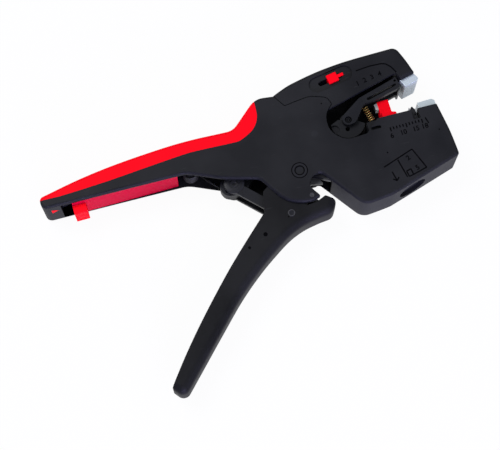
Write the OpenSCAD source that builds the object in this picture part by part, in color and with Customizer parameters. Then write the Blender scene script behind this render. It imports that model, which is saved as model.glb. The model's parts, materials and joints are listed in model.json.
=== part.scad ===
// Automatic wire stripper with cutter, lying on its back face, handles open.
// +X runs along the tool to the clamping jaws, +Y to the upper jaw, +Z is the thickness.
// The origin is on the main pivot's axis, on the back face.

/* [Overall] */
// Length from the tail of the fixed handle to the front of the head
tool_len = 195; // [180:1:210]
// Thickness over the two housing shells
tool_thick = 22; // [20:0.5:26]
// Rounding of the housing's outer edges, and depth of the red inlays
edge_r = 1.5; // [0.8:0.1:1.8]

/* [Housing shells] */
// Wall of the shells over the mechanism
shell_wall = 2; // [1.6:0.1:2.4]
// Gap of the seam between housing and upper jaw
seam_gap = 0.35; // [0.3:0.05:0.6]
// Radius of the finger dimple under the head
dimple_r = 7.2; // [5:0.1:8]
// Depth of the finger dimple
dimple_depth = 2.4; // [1:0.1:3]

/* [Moving handle] */
// Width of the moving handle across the tool
handle_w = 17; // [16:0.2:17.4]
// Thickness of its two cheeks
cheek_t = 2.4; // [2:0.1:2.6]
// Thickness of its outer web
web_t = 2.2; // [1.8:0.1:2.3]
// Rounding along its outer side
handle_edge_r = 4; // [2:0.1:4.2]

/* [Pins and screws] */
// Radius of the main pivot
main_pin_r = 2.6; // [2:0.1:3]
// Radius of the main pivot's heads
main_head_r = 3.8; // [3.4:0.1:4.4]
// Radius of the sunk centre of a pivot head
head_dish_r = 2.2; // [1.2:0.1:2.4]
// Depth of the sunk centre of a pivot head
head_dish_depth = 0.4; // [0.2:0.1:0.6]
// Radius of the two stub pins that carry the upper jaw
jaw_pin_r = 1.6; // [1.2:0.1:2]
// Radius of the pin that joins toggle link and handle
link_pin_r = 1.8; // [1.5:0.1:2]
// Radius of the pin in the toggle link's free end
boss_pin_r = 2; // [1.5:0.1:2.2]
// Radius of the pin that carries rocker and blade arm
knuckle_pin_r = 1.6; // [1.2:0.1:1.9]
// Radius of the cutter blades' rivets
rivet_r = 0.9; // [0.7:0.1:1]
// Radius of the spool in the return spring
spool_r = 2.6; // [2:0.1:2.8]
// Radius of the housing screws
screw_r = 1.2; // [0.9:0.1:1.3]
// Radius of the housing screws' heads
screw_head_r = 2.1; // [1.8:0.1:2.3]
// Height of the housing screws' heads
screw_head_t = 1.5; // [1:0.1:1.7]
// Length of the housing screws
screw_len = 14; // [13:0.5:16]
// Radial clearance of a pin in a moving part
run_gap = 0.05; // [0.03:0.01:0.08]
// Clearance between parts that move past each other
slide_gap = 0.3; // [0.25:0.05:0.35]

/* [Toggle link and pull rod] */
// Gap between a toggle plate and the handle's cheek
link_gap = 0.3; // [0.2:0.05:0.6]
// Thickness of one toggle plate
link_plate_t = 2.2; // [1.8:0.1:2.4]
// Radius of the toggle plates' free end
link_boss_r = 4.9; // [4:0.1:5]
// Radius of the toggle plates' eye in the handle
link_eye_r = 3.4; // [3:0.1:3.6]
// Gap between the pull rod's eye and a toggle plate
rod_gap = 0.6; // [0.4:0.1:1]
// Thickness of the pull rod's slotted head
rod_head_t = 2.6; // [2:0.1:2.7]
// Travel of the pull rod
rod_travel = 18; // [17:0.5:18]

/* [Stripping mechanism] */
// Travel of the blade carriage
carriage_travel = 10; // [8:0.5:10]
// Radius of the drive pin in the pull rod's slot
drive_pin_r = 1.5; // [1.2:0.1:1.6]
// Radius of the round boss on the blade arm
boss_r = 3.6; // [3.2:0.1:3.7]
// Radius of the rocker plate
rocker_r = 8.2; // [7.5:0.1:8.4]
// Thickness of the blade arm's near and far plates
arm_plate_t = 2.6; // [2:0.1:2.7]
// Thickness of the stripping blades
blade_t = 1.1; // [0.8:0.1:1.3]
// Width of the stripping blades across the tool
blade_w = 11.6; // [10:0.1:12]
// Thickness of the cutter blades
cutter_t = 2.2; // [1.8:0.1:2.2]

/* [Clamping jaws] */
// Width of the steel clamping jaws across the tool
clamp_w = 17; // [15:0.2:17.6]
// Radius of the jaw lugs round their stub pins
lug_r = 4.2; // [3.6:0.1:4.3]
// Thickness of the jaw lugs
lug_t = 2.3; // [1.8:0.1:2.4]

/* [Springs] */
// Wire thickness of the return spring
return_wire = 1; // [0.8:0.1:1.1]
// Mean coil radius of the return spring
return_coil_r = 3.4; // [3.3:0.1:3.7]
// Turns of the return spring
return_turns = 5; // [3:1:6]
// Wire thickness of the blade spring
blade_wire = 0.5; // [0.4:0.05:0.6]
// Mean coil radius of the blade spring
blade_coil_r = 1.2; // [1:0.05:1.3]
// Turns of the blade spring
blade_turns = 7; // [5:1:9]

/* [Sliders] */
// Length of the red depth slider's knob
knob_len = 5; // [4:0.1:5.4]
// Width of the red depth slider's knob
knob_w = 4.4; // [3.6:0.1:5]
// Height of the knob over the floor of its recess
knob_h = 1.2; // [0.6:0.1:1.4]
// Width of the slot that the knob runs in
knob_slot_w = 2.4; // [2:0.1:2.8]
// Length of the slot that the knob runs in
knob_slot_len = 12.6; // [12:0.1:13]
// Length of the oval recess round the slot
recess_len = 22; // [20:0.5:23]
// Width of the oval recess round the slot
recess_w = 8; // [7:0.1:8.4]
// Depth of the oval recess round the slot
recess_depth = 0.9; // [0.4:0.1:1]
// Length of the length stop's upright along the tool
stop_len = 5.6; // [4.5:0.1:6]
// Reach of the lock slide's tab below the fixed handle
tab_reach = 4.6; // [3:0.1:5.4]
// Length of the lock slide's tab along the handle
tab_len = 6.3; // [5:0.1:7]
// Width of the lock slide's tab across the handle
tab_w = 12; // [8:0.2:12]

/* [Hidden] */

$fn = 48;
// Degrees per flat of a corner's arc, and of the arc of a corner under small_corner thousandths
arc_step = 14;
small_arc_step = 30;
small_corner = 6;
// Outlines are drawn in thousandths of the tool's length
mil = tool_len / 1000;
// Overrun of every cut past the face that it opens
over = 1;

// Levels through the thickness
mid_z = tool_thick / 2;
in_lo = shell_wall;
in_hi = tool_thick - shell_wall;
handle_lo = mid_z - handle_w / 2;
handle_hi = mid_z + handle_w / 2;
channel_lo = handle_lo + cheek_t;
channel_hi = handle_hi - cheek_t;
link_lo = channel_lo + link_gap;
link_hi = channel_hi - link_gap;
// A handle too wide for the shells' walls gets a pocket in them
handle_room_hi = handle_hi + slide_gap;
seat_lo = min(in_lo, tool_thick - handle_room_hi) - over / 2;
rod_lo = link_lo + link_plate_t + rod_gap;
rod_hi = link_hi - link_plate_t - rod_gap;
rod_t = rod_hi - rod_lo;
clamp_lo = mid_z - clamp_w / 2;
clamp_hi = mid_z + clamp_w / 2;
// The moving cutter lies on the front cheek's inner face, the fixed one shears under it
cutter_hi = channel_hi;
cutter_lo = cutter_hi - cutter_t;
anvil_hi = cutter_lo - run_gap;
anvil_lo = anvil_hi - cutter_t;
// The carriage's tongue, the rod's head, the arm's far plate and the rocker lie over each other
lug_lo = in_lo + slide_gap;
lug_top = lug_lo + lug_t;
front_lug_hi = in_hi - slide_gap;
front_lug_lo = front_lug_hi - lug_t;
carriage_lo = lug_top + slide_gap;
carriage_hi = in_hi - slide_gap;
tongue_hi = rod_lo - run_gap;
arm_hi = in_hi - slide_gap;
arm_near_lo = arm_hi - arm_plate_t;
arm_far_lo = tongue_hi + slide_gap;
arm_far_hi = arm_far_lo + arm_plate_t;
rocker_lo = arm_far_hi + slide_gap;
rocker_hi = arm_near_lo - slide_gap;
stub_len = shell_wall + slide_gap + lug_t;
// A pivot head fills the rounded layer of its shell, down to the handle
main_head_t = min(edge_r, tool_thick - handle_room_hi);

// Places of the axes, in thousandths of the length
jaw_axis_share = [61, 79];
knuckle_share = [152, 95];
link_eye_share = [-47, -93];
link_boss_share = [-158, 20];
drive_pin_share = [94, 61];
spool_share = [-250, 88];
lip_pip_share = [11, -67];
dimple_share = [258, -104];
dimple_tilt = 16.5;

// Housing outline from the tail along the underside, round the cutter notch and the head,
// over the lower jaw and the mechanism window, up the jaw seam and back along the top.
// Each corner is x, y and radius.
housing_shares = [
    [-617, 75, 15], [-263, 68, 71], [-182, 31, 111], [-97, 6, 25],
    [-53, -65, 81], [3, -84, 70], [31, -75, 3], [10, -42, 16],
    [28, -18, 15], [50, -20, 13], [126, -126, 35], [200, -119, 71],
    [383, -65, 9], [380, 0, 303], [370, 72, 4], [219, 75, 8],
    [184, 45, 6], [129, 42, 47], [97, 76, 47], [100, 122, 50],
    [122, 141, 3], [116, 160, 18], [76, 174.5, 46], [11, 167, 5],
    [-10, 201, 4], [-53, 207, 46], [-126, 143, 40], [-263, 149, 607],
    [-470, 134, 759], [-617, 105, 11]];
// Region of the red grip: everything of the handle above this line
grip_shares = [
    [-632, 97, 0], [-562, 95, 0], [-450, 100, 300], [-242, 116, 300], [-118, 110, 45],
    [-60, 137, 60], [-55, 232, 0], [-632, 232, 0]];
// The grip's stretch of the housing outline, closed through the tool's middle
core_shares = concat([housing_shares[0], [-300, 50, 0], [0, 50, 0], [-10, 201, 0]],
    [for (i = [25 : 29]) housing_shares[i]]);
// Space for handle, toggle, pull rod and carriage between the shells
cavity_shares = [
    [-573, 40, 0], [-240, 35, 0], [-100, -110, 0], [-22, -110, 0], [11, -53, 0],
    [22, -34, 0], [40, 16, 0], [62, 42, 0], [184, 42, 0], [193, 47, 0], [318, 47, 0],
    [318, 260, 0], [21, 260, 0], [21, 160, 0], [-15, 157, 0], [-60, 164, 0],
    [-118, 125, 30], [-263, 129, 0], [-470, 114, 0], [-573, 99, 0]];
// Round space for the moving cutter, above the fixed one, and its opening through the lip
cutter_swing_share = 82;
lip_opening_shares = [[-40, -50, 0], [-40, -115, 0], [48, -115, 0], [36, -50, 0]];
// Reach of the handle in the cavity, from the closed handle's side to the cutter's space
handle_room_shares = [[-240, 35, 0], [-240, -115, 0], [92, -115, 0], [92, 40, 0], [0, 60, 0], [-90, 68, 0]];
// Slot behind the lower clamping jaw where the blade holder shows
holder_window_shares = [[303, 48, 0], [320, 48, 0], [320, 90, 0], [303, 90, 0]];
// Small notch in the lower jaw's face beside the scale
scale_notch_shares = [[195, 49, 0], [221, 49, 0], [221, 57, 4], [195, 57, 4]];

// Moving handle from the top of its inner edge, down, round the end and up the outer side,
// then round the cutter's space and the neck's hub back to the inner edge
handle_shares = [
    [-109, -74, 3], [-228, -185, 1012], [-354, -322, 1012], [-431, -421, 5],
    [-408, -450, 18], [-291, -330, 759], [-185, -224, 455], [-43, -126, 228],
    [51, -116, 23], [67, -90, 10], [43, -73, 4], [17, -84, 84], [-9, -85, 2],
    [40, 9, 30], [-4, 41, 30], [-98, -24, 8]];
// Tongue of the front cheek behind the moving cutter
cutter_tongue_shares = [[20, -15, 0], [67, -37, 3], [77, -4, 12], [72, 18, 6], [24, 18, 0]];
// Channel between the cheeks, open towards the fixed handle
channel_shares = [
    [-120, -50, 0], [-210, -140, 0], [-450, -400, 0], [-412, -415, 0], [-400, -424, 8],
    [-292, -313, 748], [-190, -210, 445], [-45, -115, 217], [28, -107, 0], [6, -97, 14],
    [2, -80, 0], [60, 0, 0], [40, 50, 0], [-40, 60, 0], [-120, -20, 0]];

// Cutter blades: the fixed one hooks round the notch, the moving one shears down over it
anvil_shares = [
    [-15, -74, 0], [27, -75, 2], [17, -57, 6], [15, -44, 6], [20, -31, 3], [50, -37, 1],
    [44, -18, 3], [23, -15, 3], [-15, -32, 3]];
cutter_shares = [[23, -13, 1], [69, -39, 1], [78, -6, 8], [74, 15, 6], [33, 15, 3]];
anvil_rivet_share = [15, -67];
cutter_rivet_shares = [[42, 2], [62, 4]];

// Toggle plate between its two eyes, along the line that joins them
plate_offset_share = 0.25;

// Pull rod from the toggle's boss to its slotted head, seen from the front
rod_shares = [
    [-192, -5, 8], [-136, -5, 8], [-95, 38, 30], [-20, 48, 30], [10, 48, 0], [10, 74, 0],
    [-20, 74, 40], [-100, 62, 40], [-136, 44, 12], [-192, 44, 8]];
rod_head_shares = [[-10, 48, 0], [146, 48, 8], [146, 74, 8], [-10, 74, 0]];

// Lower blade carrier: rail under the wire and tongue back to the knuckle
rail_shares = [
    [192, 49, 0], [316, 49, 0], [316, 76, 1], [313, 80, 1], [311, 85, 1], [307, 83, 1],
    [304, 75, 1], [192, 75, 3]];
tongue_shares = [
    [84, 50, 8], [200, 49, 0], [200, 75, 0], [172, 110, 12], [136, 110, 12], [120, 74, 10],
    [84, 72, 8]];
stop_groove_share = [226, 305];
spring_pocket_share = [197, 224];
lower_blade_share = [303, 50];

// Rocker plate: the lower half of a disc round the knuckle pin
rocker_cut_shares = [[90, 90, 0], [130, 106, 0], [174, 92, 0], [205, 70, 0], [205, 20, 0], [90, 20, 0]];
rocker_knob_share = [115, 83];
rocker_hole_share = [146, 77];
rocker_knob_r = 2.3;
rocker_hole_r = 1.1;

// Upper blade arm: knee up from the boss, then the bar along the jaw
arm_shares = [
    [141, 80, 14], [168, 84, 16], [200, 124, 14], [231, 125, 20], [294, 140, 3], [299, 149, 2],
    [296, 169, 3], [193, 141, 22], [136, 104, 14]];
arm_groove_shares = [[212, 129, 3], [292, 149, 2], [290, 154, 2], [210, 136, 3]];
arm_hole_share = [291, 161];
arm_hole_r = 0.6;
arm_seat_shares = [[190, 127, 0], [213, 129, 0], [213, 139, 0], [193, 137, 0]];
arm_head_shares = [[290, 142, 0], [298, 146, 0], [296, 168, 0], [286, 166, 0]];
upper_blade_shares = [[294, 138, 0], [298, 138, 0], [295, 168, 0], [289, 167, 0]];
spring_foot_share = [213, 85];
spring_top_share = [205, 127];

// Length stop on the rail, with its foot to the front and the steel leaf behind it
stop_share = [234, 77];
stop_top_share = 124;
stop_foot_shares = [[234, 77, 0], [271, 77, 2], [268, 83, 2], [260, 85, 3], [258, 90, 3], [234, 90, 2]];
leaf_shares = [[227, 106, 1], [234, 104, 0], [234, 122, 0], [226, 120, 1]];

// Upper jaw from the inner end of its underside to the front, over the top and back
jaw_shares = [
    [114, 131, 3], [297, 177, 3], [305, 157, 2], [342, 166, 2],
    [332, 202, 152], [317, 242, 20], [167, 240, 455], [76, 228, 405],
    [13, 212, 152], [-12, 199, 3], [10, 152, 0], [101, 126, 0]];
jaw_cavity_shares = [
    [30, 100, 0], [290, 100, 0], [290, 212, 10], [170, 224, 0], [84, 213, 0],
    [30, 190, 0]];
// Lugs of the jaw; the back one also closes the mechanism window from behind
front_lug_shares = [
    [41, 86, 0], [28, 160, 0], [30, 194, 0], [62, 212, 0], [96, 214, 0], [96, 190, 0], [74, 150, 12],
    [74, 84, 0]];
back_lug_shares = [
    [40, 80, 0], [28, 160, 0], [30, 194, 0], [62, 212, 0], [96, 218, 0], [170, 228, 0],
    [256, 214, 0], [256, 160, 0], [250, 98, 12], [92, 47.5, 20], [60, 58, 0]];
lug_pad_shares = [[28, 184, 0], [30, 194, 0], [62, 212, 0], [96, 218, 0], [96, 190, 0], [60, 186, 0]];
jaw_screw_shares = [[76, 206], [268, 214]];
// Steel jaws with their roots between the shells
lower_clamp_shares = [
    [326, 72, 0], [326, 91, 1], [362, 92, 8], [369, 86, 3], [369, 72, 0], [358, 72, 0],
    [358, 26, 4], [332, 26, 4], [332, 72, 0]];
upper_clamp_shares = [
    [304, 158, 0], [311, 139, 2], [342, 146, 6], [350, 151, 5], [341, 166.5, 0], [330, 163.7, 0],
    [322, 205, 4], [303, 201, 4]];
screw_shares = [[-593, 90], [-44, 176], [150, -72], [336, -30]];

// Depth slider on the jaw's face
slider_share = [139, 204];
slider_tilt = 9;
slider_start_share = 0.08;

// Lock slide in the underside of the fixed handle
lock_shares = [[-545, 73, 0], [-285, 73, 0], [-285, 88, 3], [-545, 88, 3]];
lock_tab_share = -546;
lock_guide_share = 80;
guide_h = 1;
guide_reach = 1.6;

// Basic geometry
function unit(v) = v / norm(v);
function xy(p) = [p[0], p[1]];
function place(share) = [share[0] * mil, share[1] * mil];
function signed(angle) = angle > 180 ? angle - 360 : angle < -180 ? angle + 360 : angle;
// Arc that rounds corner b between its neighbours a and c
function corner_arc(a, b, c) = let(
        u = unit(xy(a) - xy(b)), v = unit(xy(c) - xy(b)), half = acos(u * v) / 2,
        back = b[2] / tan(half), centre = xy(b) + unit(u + v) * b[2] / sin(half),
        from = xy(b) + u * back - centre, to = xy(b) + v * back - centre,
        start = atan2(from[1], from[0]), sweep = signed(atan2(to[1], to[0]) - start),
        steps = max(1, ceil(abs(sweep) / (b[2] < small_corner ? small_arc_step : arc_step))))
    b[2] == 0 ? [xy(b)]
        : [for (a = [0 : steps]) centre + b[2] * [cos(start + sweep * a / steps), sin(start + sweep * a / steps)]];
// Closed outline as points in millimetres
function outline(shares) = let(n = len(shares)) [for (i = [0 : n - 1])
    for (p = corner_arc(shares[(i + n - 1) % n], shares[i], shares[(i + 1) % n])) p * mil];
function inward(a, b) = unit([a[1] - b[1], b[0] - a[0]]);
// The outline drawn in by depth
function drawn_in(points, depth) = let(n = len(points)) [for (i = [0 : n - 1]) let(
        p = points[i], m = inward(points[(i + n - 1) % n], p), k = inward(p, points[(i + 1) % n]))
    p + depth * (m + k) / (1 + m * k)];
// Levels of a rounded edge that ends at height z, as pairs of depth and height
edge_steps = 3;
function rim_up(r, z) = [for (i = [0 : edge_steps]) let(a = 90 * i / edge_steps)
    [r * (1 - cos(a)), z - r * (1 - sin(a))]];
module prism(shares, low, high) {
    translate([0, 0, low]) linear_extrude(high - low) polygon(outline(shares));
}

module drum(share, r, low, high) {
    translate([share[0] * mil, share[1] * mil, low]) cylinder(r = r, h = high - low);
}

module block(corner_share, size, low, high) {
    translate([corner_share[0] * mil, corner_share[1] * mil, low]) cube([size[0], size[1], high - low]);
}

module stadium(length, width, height) {
    hull_end = (length - width) / 2;
    linear_extrude(height) union() {
        square([2 * hull_end, width], center = true);
        for (side = [-1, 1]) translate([side * hull_end, 0]) circle(d = width);
    }
}

// Mirrors a front piece to the back half of the tool
module to_back() {
    translate([0, 0, tool_thick]) mirror([0, 0, 1]) children();
}

// Tube of six sides swept along points, closed at both ends
function frame_side(d) = unit(cross(d, abs(d[2]) > 0.9 ? [1, 0, 0] : [0, 0, 1]));
module wire(path, thick, sides = 6) {
    n = len(path);
    rings = [for (i = [0 : n - 1]) let(
            d = unit(path[min(i + 1, n - 1)] - path[max(i - 1, 0)]),
            s = frame_side(d), t = cross(d, s))
        for (k = [0 : sides - 1]) path[i] + thick / 2 * (s * cos(360 * k / sides) + t * sin(360 * k / sides))];
    polyhedron(points = rings, faces = concat(
        [[for (k = [0 : sides - 1]) k]],
        [for (i = [0 : n - 2]) for (k = [0 : sides - 1]) each [
            [i * sides + k, (i + 1) * sides + k, (i + 1) * sides + (k + 1) % sides],
            [i * sides + k, (i + 1) * sides + (k + 1) % sides, i * sides + (k + 1) % sides]]],
        [[for (k = [sides - 1 : -1 : 0]) (n - 1) * sides + k]]));
}

curl_rings = 8;
function helix(r, pitch, turns, turn_start = 0) = [for (i = [0 : turns * curl_rings]) let(
        a = turn_start + 360 * i / curl_rings)
    [r * cos(a), r * sin(a), pitch * i / curl_rings]];
// Least gap between two stretches of wire that lie at least half a turn apart
function least_gap(path, thick) = min([for (i = [0 : len(path) - 1])
    for (j = [i + curl_rings / 2 : 1 : len(path) - 1]) norm(path[i] - path[j])]) - thick;

// Housing

// Plan of the grip's region
module grip_plan() {
    polygon(outline(grip_shares));
}

// Plan of the housing inside the grip's skin
module core_plan() {
    polygon(drawn_in(outline(core_shares), edge_r));
}

module housing_plan() {
    polygon(outline(housing_shares));
}

// Plan of a shell under its rounded layer: the grip's skin is left out for the inlay
module shell_plan() {
    difference() {
        housing_plan();
        difference() {
            grip_plan();
            core_plan();
        }
        polygon(outline(holder_window_shares));
        circle(main_pin_r);
        translate([jaw_axis_share[0] * mil, jaw_axis_share[1] * mil]) circle(jaw_pin_r);
    }
}

// Plan of the cavity behind the jaws' lugs, where the handle swings
module handle_plan() {
    intersection() {
        union() {
            polygon(outline(cavity_shares));
            polygon(outline(lip_opening_shares));
            circle(cutter_swing_share * mil);
        }
        polygon(outline(handle_room_shares));
    }
}

module layer(low, high) {
    translate([0, 0, low]) linear_extrude(high - low) children();
}

deck_z = tool_thick - edge_r;
module half_shell() {
    difference() {
        union() {
            layer(mid_z, in_hi) difference() {
                shell_plan();
                polygon(outline(cavity_shares));
                polygon(outline(lip_opening_shares));
                circle(cutter_swing_share * mil);
            }
            layer(in_hi, deck_z) shell_plan();
            layer(deck_z, tool_thick) difference() {
                housing_plan();
                grip_plan();
                polygon(outline(holder_window_shares));
                circle(main_head_r);
                translate([jaw_axis_share[0] * mil, jaw_axis_share[1] * mil]) circle(jaw_pin_r);
            }
        }
        drum(spool_share, spool_r, mid_z - over, in_hi + shell_wall / 2);
        prism(lower_clamp_shares, mid_z - over, clamp_hi);
        if (handle_room_hi > in_hi) layer(mid_z, handle_room_hi) handle_plan();
        finger_dimple();
        edge_waste(back_edge);
        edge_waste(head_edge);
    }
    lock_guide();
}

// The rounded edges: from the seam over the grips to the cutter's lip, and round the head
function beyond(a, b) = [b[0] + (b[0] - a[0]) * 0.3, b[1] + (b[1] - a[1]) * 0.3];
function halfway(a, b) = [(a[0] + b[0]) / 2, (a[1] + b[1]) / 2];
function corners(first, last) = [for (i = [first : last]) housing_shares[i]];
back_edge = concat([beyond(housing_shares[25], housing_shares[24])], corners(25, 29), corners(0, 5),
    [beyond(housing_shares[5], housing_shares[6])]);
head_edge = concat([halfway(housing_shares[8], housing_shares[9])], corners(9, 13),
    [beyond(housing_shares[13], housing_shares[14])]);

// What an edge loses to its rounding, carried along the edge
module edge_waste(shares, r = edge_r, top = tool_thick) {
    n = len(shares);
    path = [for (i = [0 : n - 1])
        for (p = i == 0 || i == n - 1 ? [shares[i]] : corner_arc(shares[i - 1], shares[i], shares[i + 1]))
            p * mil];
    m = len(path);
    section = concat([[-over, top + over], [-over, top - r]], rim_up(r, top), [[r, top + over]]);
    k = len(section);
    mitres = [for (i = [0 : m - 1]) let(
            before = inward(path[max(i - 1, 0)], path[max(i, 1)]),
            after = inward(path[min(i, m - 2)], path[min(i + 1, m - 1)]))
        (before + after) / (1 + before * after)];
    polyhedron(
        points = [for (i = [0 : m - 1]) for (q = section) let(c = path[i] + mitres[i] * q[0]) [c[0], c[1], q[1]]],
        faces = concat(
            [[for (j = [0 : k - 1]) j]],
            [for (i = [0 : m - 2]) for (j = [0 : k - 1]) each [
                [i * k + j, (i + 1) * k + j, (i + 1) * k + (j + 1) % k],
                [i * k + j, (i + 1) * k + (j + 1) % k, i * k + (j + 1) % k]]],
            [[for (j = [k : -1 : 1]) (m - 1) * k + j % k]]));
}

// Round dimple in the head's underside, half in each shell
module finger_dimple() {
    translate([dimple_share[0] * mil, dimple_share[1] * mil, mid_z])
        rotate([90, 0, dimple_tilt])
            translate([0, 0, -dimple_depth]) cylinder(r = dimple_r, h = dimple_depth + dimple_r);
}

// Rail that the lock slide's groove runs on
module lock_guide() {
    translate([lock_shares[0][0] * mil, lock_guide_share * mil - guide_h / 2, in_hi - guide_reach])
        cube([(lock_shares[1][0] - lock_shares[0][0]) * mil, guide_h, guide_reach + shell_wall / 2]);
}

module front_shell() {
    color("#2a2b2e") difference() {
        half_shell();
        prism(scale_notch_shares, in_hi, tool_thick + over);
        for (p = screw_shares) drum(p, screw_r, mid_z - over, screw_recess + screw_len);
    }
}

screw_recess = 0.4;
module back_shell() {
    color("#2a2b2e") {
        difference() {
            to_back() half_shell();
            for (p = screw_shares) {
                drum(p, screw_r, -over, mid_z + over);
                drum(p, screw_head_r, -over, screw_recess + screw_head_t);
            }
        }
        cutter_seat();
    }
}

// Solid behind the lip of the notch that the fixed cutter lies on
module cutter_seat() {
    lip_shares = [[12, -53, 0], [60, -53, 0], [60, -100, 0], [-4, -100, 0]];
    difference() {
        translate([0, 0, seat_lo]) linear_extrude(anvil_lo - seat_lo) intersection() {
            polygon(outline(lip_shares));
            housing_plan();
        }
        drum(anvil_rivet_share, rivet_r, anvil_lo - cutter_t, anvil_lo + over);
    }
}

module grip_inlay() {
    color("#ff0022") difference() {
        union() {
            layer(mid_z, deck_z) difference() {
                intersection() {
                    housing_plan();
                    grip_plan();
                }
                core_plan();
            }
            layer(deck_z, tool_thick) intersection() {
                housing_plan();
                grip_plan();
            }
        }
        edge_waste(back_edge);
    }
}

module front_grip_inlay() {
    grip_inlay();
}

module back_grip_inlay() {
    color("#ff0022") difference() {
        to_back() grip_inlay();
        for (p = screw_shares) drum(p, screw_head_r, -over, screw_recess + screw_head_t);
    }
}

module screw_set(places, low) {
    color("silver") for (p = places) difference() {
        union() {
            drum(p, screw_r, low, low + screw_len);
            drum(p, screw_head_r, low, low + screw_head_t);
        }
        drum(p, screw_r, low - over, low + screw_head_t / 2);
    }
}

module shell_screws() {
    screw_set(screw_shares, screw_recess);
}

module main_pivot_pin() {
    color("#3a3b3e") difference() {
        union() {
            drum([0, 0], main_pin_r, main_head_t, tool_thick - main_head_t);
            drum([0, 0], main_head_r, 0, main_head_t);
            drum([0, 0], main_head_r, tool_thick - main_head_t, tool_thick);
        }
        drum([0, 0], head_dish_r, -over, head_dish_depth);
        drum([0, 0], head_dish_r, tool_thick - head_dish_depth, tool_thick + over);
    }
}

module jaw_stub_pins() {
    color("#4a4b4e") for (low = [0, tool_thick - stub_len])
        drum(jaw_axis_share, jaw_pin_r, low, low + stub_len);
}

module lower_clamp_jaw() {
    color("#b8ccd4") prism(lower_clamp_shares, clamp_lo, clamp_hi);
}

module fixed_cutter_blade() {
    color("#8d9296") difference() {
        prism(anvil_shares, anvil_lo, anvil_hi);
        drum(anvil_rivet_share, rivet_r, anvil_lo - over, anvil_hi + over);
    }
}

module fixed_cutter_rivet() {
    color("#6a6c70") drum(anvil_rivet_share, rivet_r, anvil_lo - cutter_t, anvil_hi);
}

// Return spring: coil round the spool, one leg to the toggle, one to the handle's back
module return_spring() {
    pitch = return_wire * 1.6;
    low = in_lo + slide_gap + return_wire;
    coil = helix(return_coil_r, pitch, return_turns, 51);
    path = concat([leg_end(low, [-190, 40]), leg_end(low, [-214, 66])],
        [for (p = coil) [p[0] + spool_share[0] * mil, p[1] + spool_share[1] * mil, p[2] + low]],
        [leg_end(low + pitch * return_turns, [-256, 115])]);
    echo(str("return spring least gap ", least_gap(coil, return_wire)));
    color("#b0b4b8") wire(path, return_wire);
}
function leg_end(z, share) = [share[0] * mil, share[1] * mil, z];

module return_spring_spool() {
    color("#55575b") drum(spool_share, spool_r, in_lo - shell_wall / 2, in_hi + shell_wall / 2);
}

// Moving handle

module handle_body() {
    difference() {
        prism(handle_shares, handle_lo, handle_hi);
        edge_waste(handle_edge, handle_edge_r, handle_hi);
        to_back() edge_waste(handle_edge, handle_edge_r, handle_hi);
    }
}
// The handle is rounded on its outer side, from the tip to the cutter's seat
handle_edge = concat([beyond(handle_shares[4], handle_shares[3])], [for (i = [4 : 8]) handle_shares[i]],
    [beyond(handle_shares[8], handle_shares[9])]);

module moving_handle() {
    color("#2a2b2e") difference() {
        union() {
            handle_body();
            prism(cutter_tongue_shares, channel_hi, handle_hi);
        }
        prism(channel_shares, channel_lo, channel_hi);
        drum(link_eye_share, link_eye_r + slide_gap, channel_lo, channel_hi);
        drum([0, 0], main_pin_r + run_gap, handle_lo - over, handle_hi + over);
        drum(link_eye_share, link_pin_r, handle_lo - over, handle_hi + over);
        for (p = cutter_rivet_shares) drum(p, rivet_r, channel_hi - over, handle_hi + over);
    }
}

module moving_cutter_blade() {
    color("#8d9296") difference() {
        prism(cutter_shares, cutter_lo, cutter_hi);
        for (p = cutter_rivet_shares) drum(p, rivet_r, cutter_lo - over, cutter_hi + over);
    }
}

module moving_cutter_rivets() {
    color("#6a6c70") for (p = cutter_rivet_shares) drum(p, rivet_r, cutter_lo, handle_hi);
}

module handle_link_pin() {
    color("#55575b") drum(link_eye_share, link_pin_r, handle_lo, handle_hi);
}

// Toggle

module toggle_plate(low, high) {
    eye = place(link_eye_share);
    boss = place(link_boss_share);
    reach = boss - eye;
    turn = atan2(reach[1], reach[0]);
    difference() {
        union() {
            drum(link_eye_share, link_eye_r, low, high);
            drum(link_boss_share, link_boss_r, low, high);
            translate([eye[0], eye[1], low]) rotate(turn)
                translate([0, -link_boss_r * plate_offset_share, 0]) cube([norm(reach), link_boss_r, high - low]);
        }
        drum(link_eye_share, link_pin_r + run_gap, low - over, high + over);
        drum(link_boss_share, boss_pin_r, low - over, high + over);
    }
}

module front_toggle_plate() {
    color("#2f3035") toggle_plate(link_hi - link_plate_t, link_hi);
}

module back_toggle_plate() {
    color("#2f3035") toggle_plate(link_lo, link_lo + link_plate_t);
}

module toggle_boss_pin() {
    color("#55575b") drum(link_boss_share, boss_pin_r, link_lo, link_hi);
}

// The rod's eye is a slot, because the toggle's end swings a little off the rod's straight path
rod_slot_back = 2.4;
rod_slot_side = 0.9;
module pull_rod() {
    slot_r = boss_pin_r + slide_gap;
    drive_slot = rod_travel - carriage_travel;
    color("#3c3d42") difference() {
        union() {
            prism(rod_shares, rod_lo, rod_hi);
            prism(rod_head_shares, rod_lo, rod_lo + rod_head_t);
        }
        translate([link_boss_share[0] * mil - rod_slot_back - slot_r,
                link_boss_share[1] * mil - rod_slot_side - slot_r, rod_lo - over])
            cube([rod_slot_back + 2 * slot_r, 2 * (rod_slot_side + slot_r), rod_t + 2 * over]);
        translate([drive_pin_share[0] * mil, drive_pin_share[1] * mil, rod_lo - over]) {
            translate([0, -drive_pin_r - run_gap, 0])
                cube([drive_slot, 2 * (drive_pin_r + run_gap), rod_t + 2 * over]);
            for (x = [0, drive_slot]) translate([x, 0, 0])
                cylinder(r = drive_pin_r + run_gap, h = rod_t + 2 * over);
        }
    }
}

// Carriage

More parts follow.
